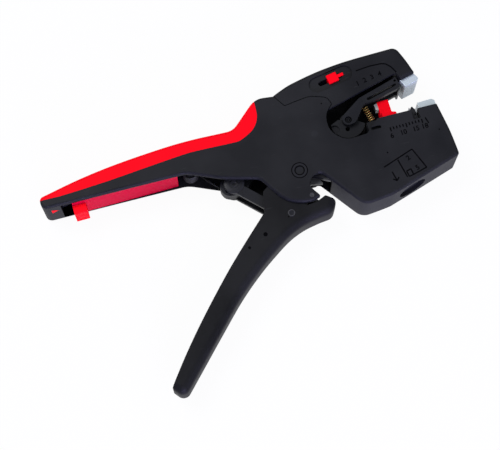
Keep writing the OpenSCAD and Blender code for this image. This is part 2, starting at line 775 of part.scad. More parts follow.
module lower_blade_carrier() {
    color("#2c2d31") difference() {
        union() {
            prism(rail_shares, carriage_lo, carriage_hi);
            prism(tongue_shares, carriage_lo, tongue_hi);
            drum(drive_pin_share, drive_pin_r, carriage_lo, rod_lo + rod_head_t);
        }
        drum(knuckle_share, rocker_r + slide_gap, tongue_hi, carriage_hi + over);
        drum(knuckle_share, knuckle_pin_r, carriage_lo - over, tongue_hi + over);
        spring_pocket();
        stop_groove(slide_gap);
        prism(lower_blade_slot_shares, mid_z - blade_w / 2, mid_z + blade_w / 2);
    }
}
lower_blade_slot_shares = [
    [lower_blade_share[0], lower_blade_share[1], 0],
    [lower_blade_share[0] + blade_t / mil, lower_blade_share[1], 0],
    [lower_blade_share[0] + blade_t / mil, 90, 0], [lower_blade_share[0], 90, 0]];

// Pocket that the blade spring dips into as the arm comes down
pocket_floor_share = 60;
module spring_pocket() {
    translate([spring_pocket_share[0] * mil, pocket_floor_share * mil, spring_z - pocket_half])
        cube([(spring_pocket_share[1] - spring_pocket_share[0]) * mil, mid_z, 2 * pocket_half]);
}
pocket_half = blade_coil_r + blade_wire / 2 + slide_gap;
spring_z = (rocker_lo + rocker_hi) / 2 - slide_gap;

// Groove along the rail that guides the length stop
groove_w = 2;
groove_depth = 2.2;
groove_z = arm_far_lo;
module stop_groove(gap) {
    top = rail_shares[7][1] * mil;
    translate([stop_groove_share[0] * mil, top - groove_depth, groove_z - gap])
        cube([(stop_groove_share[1] - stop_groove_share[0]) * mil, groove_depth + over, groove_w + 2 * gap]);
}

module blade_plate(x, y, height) {
    translate([x, y, mid_z - blade_w / 2]) linear_extrude(blade_w)
        polygon([[0, 0], [blade_t, 0], [blade_t, height - blade_t], [blade_t / 2, height], [0, height - blade_t]]);
}

lower_blade_h = 7.6;
module lower_blade() {
    color("#9aa3a8") blade_plate(lower_blade_share[0] * mil, lower_blade_share[1] * mil, lower_blade_h);
}

knuckle_sink = 0.6;
module knuckle_pin() {
    color("#55575b") drum(knuckle_share, knuckle_pin_r, carriage_lo, arm_hi - knuckle_sink);
}

module rocker_plate() {
    rocker_hub_r = boss_r + slide_gap;
    color("#3a3b40") difference() {
        union() {
            intersection() {
                drum(knuckle_share, rocker_r, rocker_lo, rocker_hi);
                prism(rocker_cut_shares, rocker_lo - over, rocker_hi + over);
            }
            drum(knuckle_share, rocker_hub_r, rocker_lo, rocker_hi);
        }
        drum(knuckle_share, knuckle_pin_r + run_gap, rocker_lo - over, rocker_hi + over);
        drum(rocker_hole_share, rocker_hole_r, rocker_lo - over, rocker_hi + over);
        drum(rocker_knob_share, rocker_knob_r, rocker_hi - rocker_hole_r, rocker_hi + over);
    }
}

module upper_blade_arm() {
    color("#2c2d31") difference() {
        union() {
            prism(arm_shares, arm_near_lo, arm_hi);
            prism(arm_shares, arm_far_lo, arm_far_hi);
            prism(arm_seat_shares, arm_far_lo, arm_hi);
            prism(arm_head_shares, arm_far_lo, arm_hi);
        }
        drum(knuckle_share, knuckle_pin_r + run_gap, arm_far_lo - over, arm_hi + over);
        drum(knuckle_share, rocker_r + slide_gap, arm_far_hi, arm_near_lo);
        prism(arm_groove_shares, arm_near_lo - over, arm_hi + over);
        prism(upper_blade_shares, mid_z - blade_w / 2, mid_z + blade_w / 2);
        drum(arm_hole_share, arm_hole_r, arm_near_lo - over, arm_hi + over);
    }
}

module upper_blade() {
    color("#9aa3a8") prism(upper_blade_shares, mid_z - blade_w / 2, mid_z + blade_w / 2);
}

// Compression spring between rail and arm, standing in the plane of the tool
module blade_spring() {
    foot = [spring_foot_share[0] * mil, spring_foot_share[1] * mil, spring_z];
    head = [spring_top_share[0] * mil, spring_top_share[1] * mil, spring_z];
    axis = unit(head - foot);
    side = cross([0, 0, 1], axis);
    pitch = (norm(head - foot) - blade_wire) / blade_turns;
    coil = helix(blade_coil_r, pitch, blade_turns);
    path = [for (p = coil) foot + side * p[0] + [0, 0, p[1]] + axis * (p[2] + blade_wire / 2)];
    echo(str("blade spring least gap ", least_gap(coil, blade_wire)));
    color("#c9a24a") wire(path, blade_wire);
}

module length_stop() {
    foot_low = arm_near_lo;
    foot_high = in_hi + slide_gap;
    base_h = 1.4;
    color("#ff0022") union() {
        block(stop_share, [stop_len, (stop_top_share - stop_share[1]) * mil], rocker_lo, rocker_hi);
        block(stop_share, [stop_len, base_h], groove_z, foot_high);
        prism(stop_foot_shares, foot_low, foot_high);
        translate([stop_share[0] * mil, rail_shares[7][1] * mil - groove_depth + slide_gap, groove_z])
            cube([stop_len, groove_depth + base_h, groove_w]);
    }
}

module length_stop_leaf() {
    leaf_low = spring_z - blade_coil_r;
    color("#a9a6b4") prism(leaf_shares, leaf_low, rocker_hi - slide_gap);
}

// Upper jaw

module jaw_half_body() {
    difference() {
        prism(jaw_shares, mid_z, tool_thick);
        translate([0, 0, mid_z - over]) linear_extrude(tool_thick)
            polygon(drawn_in(outline(housing_shares), -seam_gap));
        edge_waste(jaw_edge);
    }
}
// The jaw's rounded edge goes from the front corner over the top to the seam behind
jaw_edge = concat([beyond(jaw_shares[3], jaw_shares[2])], [for (i = [3 : 8]) jaw_shares[i]],
    [beyond(jaw_shares[8], jaw_shares[9])]);

module jaw_half() {
    difference() {
        jaw_half_body();
        prism(jaw_cavity_shares, mid_z - over, in_hi);
        prism(upper_clamp_shares, mid_z - over, clamp_hi);
    }
    for (p = jaw_screw_shares) intersection() {
        drum(p, screw_head_r + shell_wall / 2, mid_z, in_hi + shell_wall / 2);
        prism(jaw_shares, mid_z, tool_thick);
    }
}

module slider_frame() {
    translate([slider_share[0] * mil, slider_share[1] * mil, 0]) rotate(slider_tilt) children();
}

module upper_jaw_front() {
    color("#2a2b2e") difference() {
        union() {
            jaw_half();
            prism(front_lug_shares, front_lug_lo, front_lug_hi);
            drum(jaw_axis_share, lug_r, front_lug_lo, front_lug_hi);
            prism(lug_pad_shares, front_lug_lo, in_hi + shell_wall / 2);
        }
        drum(jaw_axis_share, jaw_pin_r + run_gap, front_lug_lo - over, front_lug_hi + over);
        for (p = jaw_screw_shares) drum(p, screw_r, mid_z - over, screw_recess + screw_len);
        slider_frame() {
            translate([0, 0, tool_thick - recess_depth]) stadium(recess_len, recess_w, recess_depth + over);
            translate([0, 0, in_hi - over]) stadium(knob_slot_len, knob_slot_w, shell_wall + 2 * over);
        }
    }
}

module upper_jaw_back() {
    color("#2a2b2e") difference() {
        union() {
            to_back() jaw_half();
            prism(back_lug_shares, lug_lo, lug_top);
            drum(jaw_axis_share, lug_r, lug_lo, lug_top);
            prism(lug_pad_shares, in_lo - shell_wall / 2, lug_top);
        }
        drum(jaw_axis_share, jaw_pin_r + run_gap, lug_lo - over, lug_top + over);
        for (p = jaw_screw_shares) {
            drum(p, screw_r, -over, mid_z + over);
            drum(p, screw_head_r, -over, screw_recess + screw_head_t);
        }
    }
}

module upper_jaw_screws() {
    screw_set(jaw_screw_shares, screw_recess);
}

module upper_clamp_jaw() {
    color("#b8ccd4") prism(upper_clamp_shares, clamp_lo, clamp_hi);
}

// Knob on the face, neck through the slot and a flange that keeps it in
module depth_slider() {
    start = knob_slot_len * slider_start_share;
    neck_w = knob_slot_w - 2 * slide_gap;
    floor_z = tool_thick - recess_depth + slide_gap / 2;
    flange_t = 0.8;
    pointer_len = 3.2;
    pointer_w = 1.4;
    color("#ff0022") slider_frame() translate([start, 0, 0]) union() {
        translate([-knob_len / 2, -knob_w / 2, floor_z]) cube([knob_len, knob_w, knob_h]);
        translate([0, -pointer_w / 2, floor_z]) cube([knob_len / 2 + pointer_len, pointer_w, knob_h / 2]);
        translate([-knob_len / 2, -neck_w / 2, in_hi - slide_gap / 2 - flange_t])
            cube([knob_len, neck_w, floor_z + knob_h / 2 - in_hi + slide_gap / 2 + flange_t]);
        translate([-knob_len / 2, -knob_w / 2, in_hi - slide_gap / 2 - flange_t])
            cube([knob_len, knob_w, flange_t]);
    }
}

// Bar in the underside of the handle, grooved for the guides, with a tab for the finger
module lock_slide() {
    low = in_lo + slide_gap;
    high = in_hi - slide_gap;
    color("#c8103a") union() {
        difference() {
            prism(lock_shares, low, high);
            for (z = [low - over, high - guide_reach])
                translate([lock_shares[0][0] * mil - over, lock_guide_share * mil - guide_h / 2 - slide_gap, z])
                    cube([(lock_shares[1][0] - lock_shares[0][0]) * mil + 2 * over,
                        guide_h + 2 * slide_gap, guide_reach + over]);
        }
        translate([lock_tab_share * mil, lock_shares[0][1] * mil - tab_reach, mid_z - tab_w / 2])
            cube([tab_len, tab_reach + shell_wall, tab_w]);
    }
}

front_shell();
back_shell();
front_grip_inlay();
back_grip_inlay();
shell_screws();
main_pivot_pin();
jaw_stub_pins();
lower_clamp_jaw();
fixed_cutter_blade();
fixed_cutter_rivet();
return_spring();
return_spring_spool();
moving_handle();
moving_cutter_blade();
moving_cutter_rivets();
handle_link_pin();
front_toggle_plate();
back_toggle_plate();
toggle_boss_pin();
pull_rod();
lower_blade_carrier();
lower_blade();
knuckle_pin();
rocker_plate();
upper_blade_arm();
upper_blade();
blade_spring();
length_stop();
length_stop_leaf();
upper_jaw_front();
upper_jaw_back();
upper_jaw_screws();
upper_clamp_jaw();
depth_slider();
lock_slide();
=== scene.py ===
"""Looks for the automatic wire stripper: rounded mouldings, finishes, springs, scale marks and a studio.

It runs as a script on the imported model, in metres, in the model's own frame: +X to the jaws, +Y to the
upper jaw, +Z up from the face that the tool lies on.
"""
import json
import math

import bmesh
import bpy
import numpy as np
from bpy.props import FloatProperty, FloatVectorProperty, IntProperty, PointerProperty
from bpy.types import Operator, Panel, PropertyGroup
from mathutils import Matrix, Vector
from mathutils.kdtree import KDTree


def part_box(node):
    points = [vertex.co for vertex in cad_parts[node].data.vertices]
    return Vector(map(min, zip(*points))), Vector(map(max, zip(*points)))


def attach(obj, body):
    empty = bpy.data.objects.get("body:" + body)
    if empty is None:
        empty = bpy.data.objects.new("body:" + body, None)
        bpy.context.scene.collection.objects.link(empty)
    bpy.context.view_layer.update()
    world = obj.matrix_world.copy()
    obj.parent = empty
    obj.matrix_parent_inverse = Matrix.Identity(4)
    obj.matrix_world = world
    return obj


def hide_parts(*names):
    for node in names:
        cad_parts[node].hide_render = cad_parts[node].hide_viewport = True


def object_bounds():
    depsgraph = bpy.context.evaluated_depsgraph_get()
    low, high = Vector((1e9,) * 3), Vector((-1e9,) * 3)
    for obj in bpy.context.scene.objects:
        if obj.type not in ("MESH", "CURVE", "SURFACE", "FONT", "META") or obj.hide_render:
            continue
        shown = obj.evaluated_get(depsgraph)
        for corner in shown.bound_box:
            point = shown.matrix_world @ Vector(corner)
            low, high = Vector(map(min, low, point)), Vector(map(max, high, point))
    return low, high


bl_info = {
    "name": "Wire Stripper Looks",
    "version": (1, 0, 0),
    "blender": (4, 5, 0),
    "location": "View3D > Sidebar > Wire Stripper",
    "description": "Rounds, finishes and lights an automatic wire stripper",
    "category": "Object",
}

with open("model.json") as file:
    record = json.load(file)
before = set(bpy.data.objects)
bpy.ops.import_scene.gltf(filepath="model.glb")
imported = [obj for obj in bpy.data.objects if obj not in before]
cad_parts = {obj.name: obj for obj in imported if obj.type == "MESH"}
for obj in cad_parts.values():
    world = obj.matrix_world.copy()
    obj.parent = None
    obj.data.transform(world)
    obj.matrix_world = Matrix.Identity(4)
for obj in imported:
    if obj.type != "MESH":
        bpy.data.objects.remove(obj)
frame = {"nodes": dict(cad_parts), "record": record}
CAD_LOW, CAD_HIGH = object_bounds()
SLOT_OF = {part["node"]: part["material_slot"] for part in frame["record"]["subparts"]}
BODY_OF = {
    node: body
    for body, nodes in frame["record"]["behaviour"]["bodies"].items()
    for node in nodes
}
MM = 0.001
FULL_TURN = 2.0 * math.pi
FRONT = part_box("front_shell")[1].z  # height of the face that the photograph shows

# Nodes whose finish differs from the one of their material slot
OWN_FINISH = {
    "moving_handle": "handle_black",
    # The lock slide's bar wears a darker red than its tab, as painted shade of the housing over it
    "lock_slide": "lock_red_painted_shade",
    "knuckle_pin": "dark_pivot",
    "toggle_boss_pin": "dark_plastic",
    "return_spring_spool": "spool_black",
    "return_spring": "dull_wire",
    "fixed_cutter_blade": "dark_blade",
    "moving_cutter_blade": "dark_blade",
    "upper_blade": "dark_blade",
    "lower_clamp_jaw": "jaw_steel",
    "upper_clamp_jaw": "jaw_steel",
}
TAB_REACH = 4.6 * MM  # how far the lock slide's tab stands out below its bar
TAB_FADE = (0.6 * MM, 0.4 * MM)  # where under the bar the tab's own red ends and the bar's red with painted shade begins

# How a imported node's mesh is made whole
MERGE_GAP = 2e-6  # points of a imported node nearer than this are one
SEAM_GAP = 1e-8  # points of a new shape nearer than this are one
TINY = 1e-6  # a length below this counts as none
FLAT = math.radians(0.3)  # faces that meet at less than this are one flat face

# How its outlines are bowed
FOLD = math.radians(4.0)  # a level edge whose faces meet at more than this belongs to an outline
CORNER = math.radians(16.0)  # an outline that turns by more than this has a corner there
LEAST_LEAN = math.radians(0.15)  # a chord that leans by less than this stays straight
LEAST_CHORD = 0.3 * MM  # a shorter chord stays straight
LONG_CHORD = 4.0 * MM  # a longer one gets the long chords' cuts
LONG_CUTS, SHORT_CUTS = 7, 3  # new points on an outline's long and short chords
END_ROUNDS = {"pull_rod": 4.8 * MM}  # bars whose low end along X is made round, and its radius
END_SLICES = 8
SLICE_GAP = 1e-7  # a slice that passes a point this near goes through it
END_BLUNT = 1.02  # over 1, so that the very end stays a short flat

# How its edges are broken
BREAK_ANGLE = math.radians(34.0)  # edges whose faces meet at more than this are bevelled
SHARP_ANGLE = math.radians(50.0)  # edges whose faces meet at more than this are shaded sharp
BREAK_SEGMENTS = 2

# How marks and wires are drawn
PATH_STEP = 0.4 * MM  # between the points of a mark's line
MARK_TAPER = 0.8  # a mark's width on top over its width at the foot
NUMBER_WEIGHT = 0.12  # how far a number's strokes are thickened, over the mark width
WIRE_SHARE = 0.97  # a wound wire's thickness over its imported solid's


# Sizes and colours

class StripperSizes(PropertyGroup):
    """Sizes that a maker of this tool would change."""

    edge_round: FloatProperty(
        name="Edge round", description="Width of the break on the big mouldings' edges",
        default=0.22 * MM, unit="LENGTH", precision=5)
    fine_edge_round: FloatProperty(
        name="Fine edge round", description="Width of the break on the edges of the small working parts",
        default=0.18 * MM, unit="LENGTH", precision=5)
    mark_width: FloatProperty(
        name="Mark width", description="Width of the lines sunk in the front face",
        default=0.72 * MM, unit="LENGTH", precision=5)
    mark_lift: FloatProperty(
        name="Mark lift", description="How far a mark's filling stands off its face",
        default=0.03 * MM, unit="LENGTH", precision=5)
    number_height: FloatProperty(
        name="Number height", description="Height of the scale numbers",
        default=3.3 * MM, unit="LENGTH", precision=5)
    return_wire: FloatProperty(
        name="Return wire", description="Thickness of the return spring's wire",
        default=1.0 * MM, unit="LENGTH", precision=5)
    blade_wire: FloatProperty(
        name="Blade wire", description="Thickness of the small blade spring's wire",
        default=0.5 * MM, unit="LENGTH", precision=5)
    coil_steps: IntProperty(
        name="Coil steps", description="Rings on each turn of a spring", default=28, min=12)


class StripperColours(PropertyGroup):
    """Base colours of the finishes, in linear light."""

    housing: FloatVectorProperty(
        name="Housing", description="Black glass-filled plastic", subtype="COLOR",
        default=(0.0092, 0.0098, 0.0128))
    working_parts: FloatVectorProperty(
        name="Working parts", description="Dark plastic of the levers and slides", subtype="COLOR",
        default=(0.0120, 0.0128, 0.0165))
    grip: FloatVectorProperty(
        name="Grip", description="Red soft plastic", subtype="COLOR", default=(0.96, 0.0, 0.010))
    # The lock's red is the grip's red darkened with painted shade, for the bar that lies under the housing
    lock: FloatVectorProperty(
        name="Lock", description="Crimson plastic of the lock slide", subtype="COLOR",
        default=(0.60, 0.0, 0.030))
    jaws: FloatVectorProperty(
        name="Jaws", description="Ground steel of the clamping jaws", subtype="COLOR",
        default=(0.56, 0.64, 0.70))
    blades: FloatVectorProperty(
        name="Blades", description="Hardened blade steel", subtype="COLOR",
        default=(0.45, 0.46, 0.50))
    gold: FloatVectorProperty(
        name="Spring gold", description="Golden spring wire", subtype="COLOR",
        default=(0.80, 0.55, 0.20))


def finish_of(node):
    """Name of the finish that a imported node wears."""
    return OWN_FINISH.get(node, SLOT_OF[node])


def sizes():
    return bpy.context.scene.stripper_sizes


def colours():
    return bpy.context.scene.stripper_colours


# Finishes

class Wiring:
    """A tree of shader nodes, with short ways to add to it."""

    def __init__(self, tree):
        self.nodes = tree.nodes
        self.links = tree.links

    def fill(self, node, inputs):
        """Put a constant or a link on each of these inputs of a node."""
        for key, value in inputs.items():
            if isinstance(value, bpy.types.NodeSocket):
                self.links.new(value, node.inputs[key])
            else:
                node.inputs[key].default_value = value

    def add(self, kind, inputs=None, **settings):
        """A new node of a kind, with its settings made and its inputs filled."""
        node = self.nodes.new(kind)
        for key, value in settings.items():
            setattr(node, key, value)
        self.fill(node, inputs or {})
        return node

    def between(self, value, span, to=(0.0, 1.0)):
        """The value's stretch over a span, spread over another stretch and held at its ends."""
        return self.add("ShaderNodeMapRange", {
            "Value": value, "From Min": span[0], "From Max": span[1], "To Min": to[0], "To Max": to[1],
        }).outputs["Result"]


class Finish(Wiring):
    """A material of nodes, whose patterns read Object coordinates."""

    def __init__(self, name):
        self.material = bpy.data.materials.new(name)
        self.material.use_nodes = True
        super().__init__(self.material.node_tree)
        self.shader = self.nodes["Principled BSDF"]
        self.place = self.add("ShaderNodeTexCoord").outputs["Object"]

    def stretched(self, scale):
        """Object coordinates, with the pattern drawn out along the axes of small scale."""
        return self.add("ShaderNodeMapping", {"Vector": self.place, "Scale": scale}).outputs["Vector"]

    def noise(self, scale, detail=3.0, where=None):
        """Cloudy noise, finer with a larger scale."""
        return self.add("ShaderNodeTexNoise", {
            "Vector": where or self.place, "Scale": scale, "Detail": detail}).outputs["Fac"]

    def mixed(self, share, first, second):
        """Colour between two, each a socket or its red, green and blue."""
        first, second = (end if isinstance(end, bpy.types.NodeSocket) else (*end, 1.0)
                         for end in (first, second))
        node = self.add("ShaderNodeMix", {"Factor": share, "A": first, "B": second}, data_type="RGBA")
        return node.outputs["Result"]

    def bumped(self, *layers):
        """Bumps laid one over the other, each as height and depth in metres."""
        normal = None
        for height, depth in layers:
            node = self.add("ShaderNodeBump", {"Height": height, "Distance": depth, "Strength": 1.0})
            if normal:
                self.links.new(normal, node.inputs["Normal"])
            normal = node.outputs["Normal"]
        self.links.new(normal, self.shader.inputs["Normal"])

    def set(self, **inputs):
        """Fill inputs of the shader, their names written with underscores for spaces."""
        self.fill(self.shader, {key.replace("_", " "): value for key, value in inputs.items()})


def lighter(colour, share):
    """The colour, with a share of the way to white added."""
    return tuple(c + (1.0 - c) * share for c in colour)


def darker(colour, share):
    """The colour, with a share of it taken away."""
    return tuple(c * (1.0 - share) for c in colour)


def moulded_black(name, colour, roughness):
    """Spark-eroded black plastic: pebbled grain, cloudy gloss, and a few pale rubbed streaks."""
    finish = Finish(name)
    cloud = finish.noise(38.0, detail=4.0)
    streaks = finish.noise(9.0, detail=6.0, where=finish.stretched((14.0, 90.0, 40.0)))
    pebbles = finish.noise(2600.0, detail=2.0)
    swells = finish.noise(70.0)
    clouded = finish.between(cloud, (0.35, 0.65))
    tone = finish.mixed(clouded, darker(colour, 0.12), lighter(colour, 0.006))
    rubbed = finish.between(streaks, (0.66, 0.80), to=(0.0, 0.5))
    finish.set(
        Base_Color=finish.mixed(rubbed, tone, lighter(colour, 0.03)),
        Roughness=finish.between(cloud, (0.3, 0.7), to=(roughness - 0.05, roughness + 0.07)),
        Specular_IOR_Level=0.10)
    finish.bumped((pebbles, 0.022 * MM), (swells, 0.05 * MM))
    return finish.material


def soft_red(name, colour, tab_colour=None):
    """Satin red plastic: fine leathery grain, slightly deeper in cloudy patches.

    A tab colour is for the lock slide, whose finger tab below the handle is brighter than its bar: the
    bar's darker red is painted shade of the housing above it.
    """
    finish = Finish(name)
    cloud = finish.noise(30.0, detail=4.0)
    tone = finish.mixed(finish.between(cloud, (0.3, 0.7)), darker(colour, 0.07), colour)
    # Painted shade: the bar keeps the darker colour, and the tab takes the brighter one from a little
    # under the bar's edge downwards
    if tab_colour:
        height = finish.add("ShaderNodeSeparateXYZ", {"Vector": finish.place}).outputs["Y"]
        bar_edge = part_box("lock_slide")[0].y + TAB_REACH
        span = (bar_edge - TAB_FADE[0], bar_edge - TAB_FADE[1])
        tone = finish.mixed(finish.between(height, span, to=(1.0, 0.0)), tone, tab_colour)
    cells = finish.add("ShaderNodeTexVoronoi", {"Vector": finish.place, "Scale": 1900.0})
    finish.set(
        Base_Color=tone,
        Roughness=finish.between(cloud, (0.3, 0.7), to=(0.50, 0.62)),
        Specular_IOR_Level=0.05)
    finish.bumped((cells.outputs["Distance"], 0.018 * MM), (cloud, 0.04 * MM))
    return finish.material


def ground_steel(name, colour, roughness, along=(6.0, 260.0, 260.0), metal=0.85):
    """Steel with grinding lines along one axis, fine pits, and a faint bluish bloom."""
    finish = Finish(name)
    lines = finish.noise(22.0, detail=5.0, where=finish.stretched(along))
    bloom = finish.noise(55.0)
    pits = finish.noise(900.0)
    finish.set(
        Base_Color=finish.mixed(finish.between(bloom, (0.3, 0.7)), darker(colour, 0.16), colour),
        Metallic=metal,
        Roughness=finish.between(lines, (0.3, 0.7), to=(roughness - 0.06, roughness + 0.10)))
    finish.bumped((lines, 0.006 * MM), (pits, 0.006 * MM))
    return finish.material


def plated_wire(name, colour, roughness, metal=0.9):
    """Drawn spring wire: small draw marks and uneven plating."""
    finish = Finish(name)
    patch = finish.noise(420.0)
    finish.set(
        Base_Color=finish.mixed(finish.between(patch, (0.35, 0.65)), darker(colour, 0.35), colour),
        Metallic=metal,
        Roughness=finish.between(patch, (0.3, 0.7), to=(roughness, roughness + 0.18)))
    finish.bumped((finish.noise(2400.0), 0.008 * MM))
    return finish.material


def sunk_line(name, colour):
    """Filling of a sunk mark: rougher than the face round it, and deeper black as painted shade of the
    groove.
    """
    finish = Finish(name)
    speck = finish.noise(700.0)
    specked = finish.between(speck, (0.4, 0.7))
    finish.set(
        Base_Color=finish.mixed(specked, darker(colour, 0.85), darker(colour, 0.7)),
        Roughness=finish.between(speck, (0.3, 0.7), to=(0.7, 0.85)),
        Specular_IOR_Level=0.02)
    finish.bumped((speck, 0.01 * MM))
    return finish.material


def make_finishes():
    """One material for each slot of the record, and those that only the dressing uses."""
    c = colours()
    return {
        "housing_plastic": moulded_black("housing_black", c.housing, roughness=0.50),
        "handle_black": moulded_black("handle_black", darker(c.housing, 0.5), roughness=0.50),
        "spool_black": moulded_black("spool_black", darker(c.working_parts, 0.6), roughness=0.6),
        "worn_pivot": moulded_black("worn_pivot", lighter(c.working_parts, 0.035), roughness=0.4),
        "boss_black": moulded_black("boss_black", lighter(c.working_parts, 0.008), roughness=0.36),
        "dark_plastic": moulded_black("working_black", c.working_parts, roughness=0.42),
        "dark_pivot": moulded_black("pivot_black", c.working_parts, roughness=0.36),
        "red_plastic": soft_red("grip_red", c.grip),
        # The lock slide: its bar in red with painted shade, its tab in the grip's own red
        "lock_red_painted_shade": soft_red("lock_red_painted_shade", c.lock, tab_colour=c.grip),
        "dark_blade": ground_steel("cutter_dark_steel", darker(c.blades, 0.75), roughness=0.45),
        "dull_wire": plated_wire("return_spring_wire", darker(c.blades, 0.96), roughness=0.5, metal=0.2),
        "jaw_steel": ground_steel("jaw_ground_steel", c.jaws, roughness=0.38, metal=0.25),
        "blade_steel": ground_steel("blade_steel", c.blades, roughness=0.28, along=(260.0, 8.0, 260.0)),
        "screw_steel": ground_steel("zinc_screw", lighter(c.blades, 0.1), roughness=0.34),
        "pin_steel": ground_steel("pin_steel", darker(c.blades, 0.4), roughness=0.36),
        "spring_steel": plated_wire("spring_steel", (0.60, 0.60, 0.64), roughness=0.28),
        "brass_spring": plated_wire("spring_gold", c.gold, roughness=0.26),
        # Sunk marks, numbers, pips, pivot rings and screw drives wear this near black as painted shade of
        # their grooves and recesses
        "mark_painted_shade": sunk_line("mark_painted_shade", c.housing),
    }


# Materials by the name of their finish, filled by the first step
FINISHES = {}


# Mesh making

def add_piece(name, mesh, finish, body, smooth=True):
    """Object at the origin that rides on a body and wears a finish."""
    mesh.name = name
    piece = bpy.data.objects.new(name, mesh)
    bpy.context.scene.collection.objects.link(piece)
    mesh.materials.clear()
    mesh.materials.append(FINISHES[finish])
    if smooth:
        mesh.shade_smooth()
    else:
        mesh.shade_flat()
    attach(piece, body)
    return piece


def closed_mesh(points):
    """Mesh over a grid of points, closed round its columns and over its first and its last row.

    Its seams and poles are merged, and its faces point outward.
    """
    rows, columns = points.shape[:2]
    row, column = np.meshgrid(np.arange(rows - 1), np.arange(columns), indexing="ij")
    beside = (column + 1) % columns
    this_row, next_row = row * columns, (row + 1) * columns
    quads = np.stack(
        [this_row + column, this_row + beside, next_row + beside, next_row + column], axis=-1)
    ends = [list(range(columns)), list(range((rows - 1) * columns, rows * columns))]
    mesh = bpy.data.meshes.new("shape")
    mesh.from_pydata(points.reshape(-1, 3).tolist(), [], quads.reshape(-1, 4).tolist() + ends)
    work = bmesh.new()
    work.from_mesh(mesh)
    bmesh.ops.remove_doubles(work, verts=work.verts, dist=SEAM_GAP)
    bmesh.ops.recalc_face_normals(work, faces=work.faces)
    work.to_mesh(mesh)
    work.free()
    return mesh


def joined(meshes):
    """Several closed shapes as one mesh."""
    work = bmesh.new()
    for mesh in meshes:
        work.from_mesh(mesh)
        bpy.data.meshes.remove(mesh)
    whole = bpy.data.meshes.new("shapes")
    work.to_mesh(whole)
    work.free()
    return whole


def swept(path, section, up=(0.0, 0.0, 1.0)):
    """Tube of any section: point(s, t) = path(s) + section_x(t) * side(s) + section_y(t) * top(s).

    side is up crossed with the path's direction, and top completes the two to a square frame.
    """
    path, section = np.asarray(path, float), np.asarray(section, float)
    ahead = np.gradient(path, axis=0)
    ahead /= np.linalg.norm(ahead, axis=1, keepdims=True)
    side = np.cross(np.asarray(up, float), ahead)
    side /= np.linalg.norm(side, axis=1, keepdims=True)
    top = np.cross(ahead, side)
    sideways = section[None, :, :1] * side[:, None, :]
    upwards = section[None, :, 1:] * top[:, None, :]
    return closed_mesh(path[:, None, :] + sideways + upwards)


def ring_section(radius, sides=12):
    """Round section: radius times cosine and sine of an even spread of angles."""
    t = np.linspace(0.0, FULL_TURN, sides, endpoint=False)
    return radius * np.stack([np.cos(t), np.sin(t)], axis=1)


def flat_section(width, height):
    """Section of a flat mark, which reaches as far over its path as under it and tapers upwards."""
    foot = width / 2
    top = foot * MARK_TAPER
    return np.array([[-foot, -height], [foot, -height], [top, height], [-top, height]])


def turned(profile, place, steps=40):
    """Turned shape: point(s, a) = place + (radius(s) * cos a, radius(s) * sin a, height(s))."""
    a = np.linspace(0.0, FULL_TURN, steps, endpoint=False)
    radius, height = profile[:, :1], profile[:, 1:]
    points = np.stack([radius * np.cos(a), radius * np.sin(a), height * np.ones_like(a)], axis=-1)
    return closed_mesh(points + np.asarray(place, float))


def coil_angles(turns):
    """Even spread of angles over the turns of a spring."""
    return np.linspace(0.0, FULL_TURN * turns, turns * sizes().coil_steps + 1)


def dense(points):
    """Points of a broken line, filled in evenly with short steps."""
    points = np.asarray(points, float)
    run = np.concatenate([[0.0], np.cumsum(np.linalg.norm(np.diff(points, axis=0), axis=1))])
    at = np.linspace(0.0, run[-1], max(int(run[-1] / PATH_STEP), 2))
    return np.stack([np.interp(at, run, points[:, k]) for k in range(points.shape[1])], axis=1)


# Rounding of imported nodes

def is_outline(edge):
    """Whether an edge runs level where two faces fold, as the outline of a plate does."""
    return (len(edge.link_faces) == 2 and edge.calc_face_angle(0.0) > FOLD
            and abs(edge.verts[0].co.z - edge.verts[1].co.z) < TINY)


def bend(before, after):
    """Angle from one flat direction to the next, positive to the left."""
    return math.atan2(before.x * after.y - before.y * after.x, before.x * after.x + before.y * after.y)


def turned_by(flat, angle):
    """A flat direction, turned to the left by an angle."""
    return Matrix.Rotation(angle, 3, "Z") @ flat


def lean_at(edge, here, outline):
    """Angle from a chord to the curve at one of its ends, or None where the outline branches.

    The curve's direction lies between the two chords that meet there, nearer to the longer one, so that a
    straight run stays straight beside an arc. A corner keeps the chord's own direction.
    """
    beside = [e for e in here.link_edges if e in outline and e is not edge]
    if len(beside) != 1:
        return None
    before = here.co - beside[0].other_vert(here).co
    after = edge.other_vert(here).co - here.co
    angle = bend(before, after)
    if abs(angle) > CORNER:
        return 0.0
    return -angle * before.length / (before.length + after.length)


def on_curve(a, b, first, last, t):
    """Point of a cubic from a to b, whose directions there are the chord's own, turned by two angles.

    point(t) = a * (2 t3 - 3 t2 + 1) + start * (t3 - 2 t2 + t) + b * (3 t2 - 2 t3) + stop * (t3 - t2),
    where t2 and t3 are t squared and cubed, and start and stop are the chord in the two directions.
    """
    start, stop = turned_by(b - a, first), turned_by(b - a, last)
    return (a * (2 * t ** 3 - 3 * t ** 2 + 1) + start * (t ** 3 - 2 * t ** 2 + t)
            + b * (3 * t ** 2 - 2 * t ** 3) + stop * (t ** 3 - t ** 2))


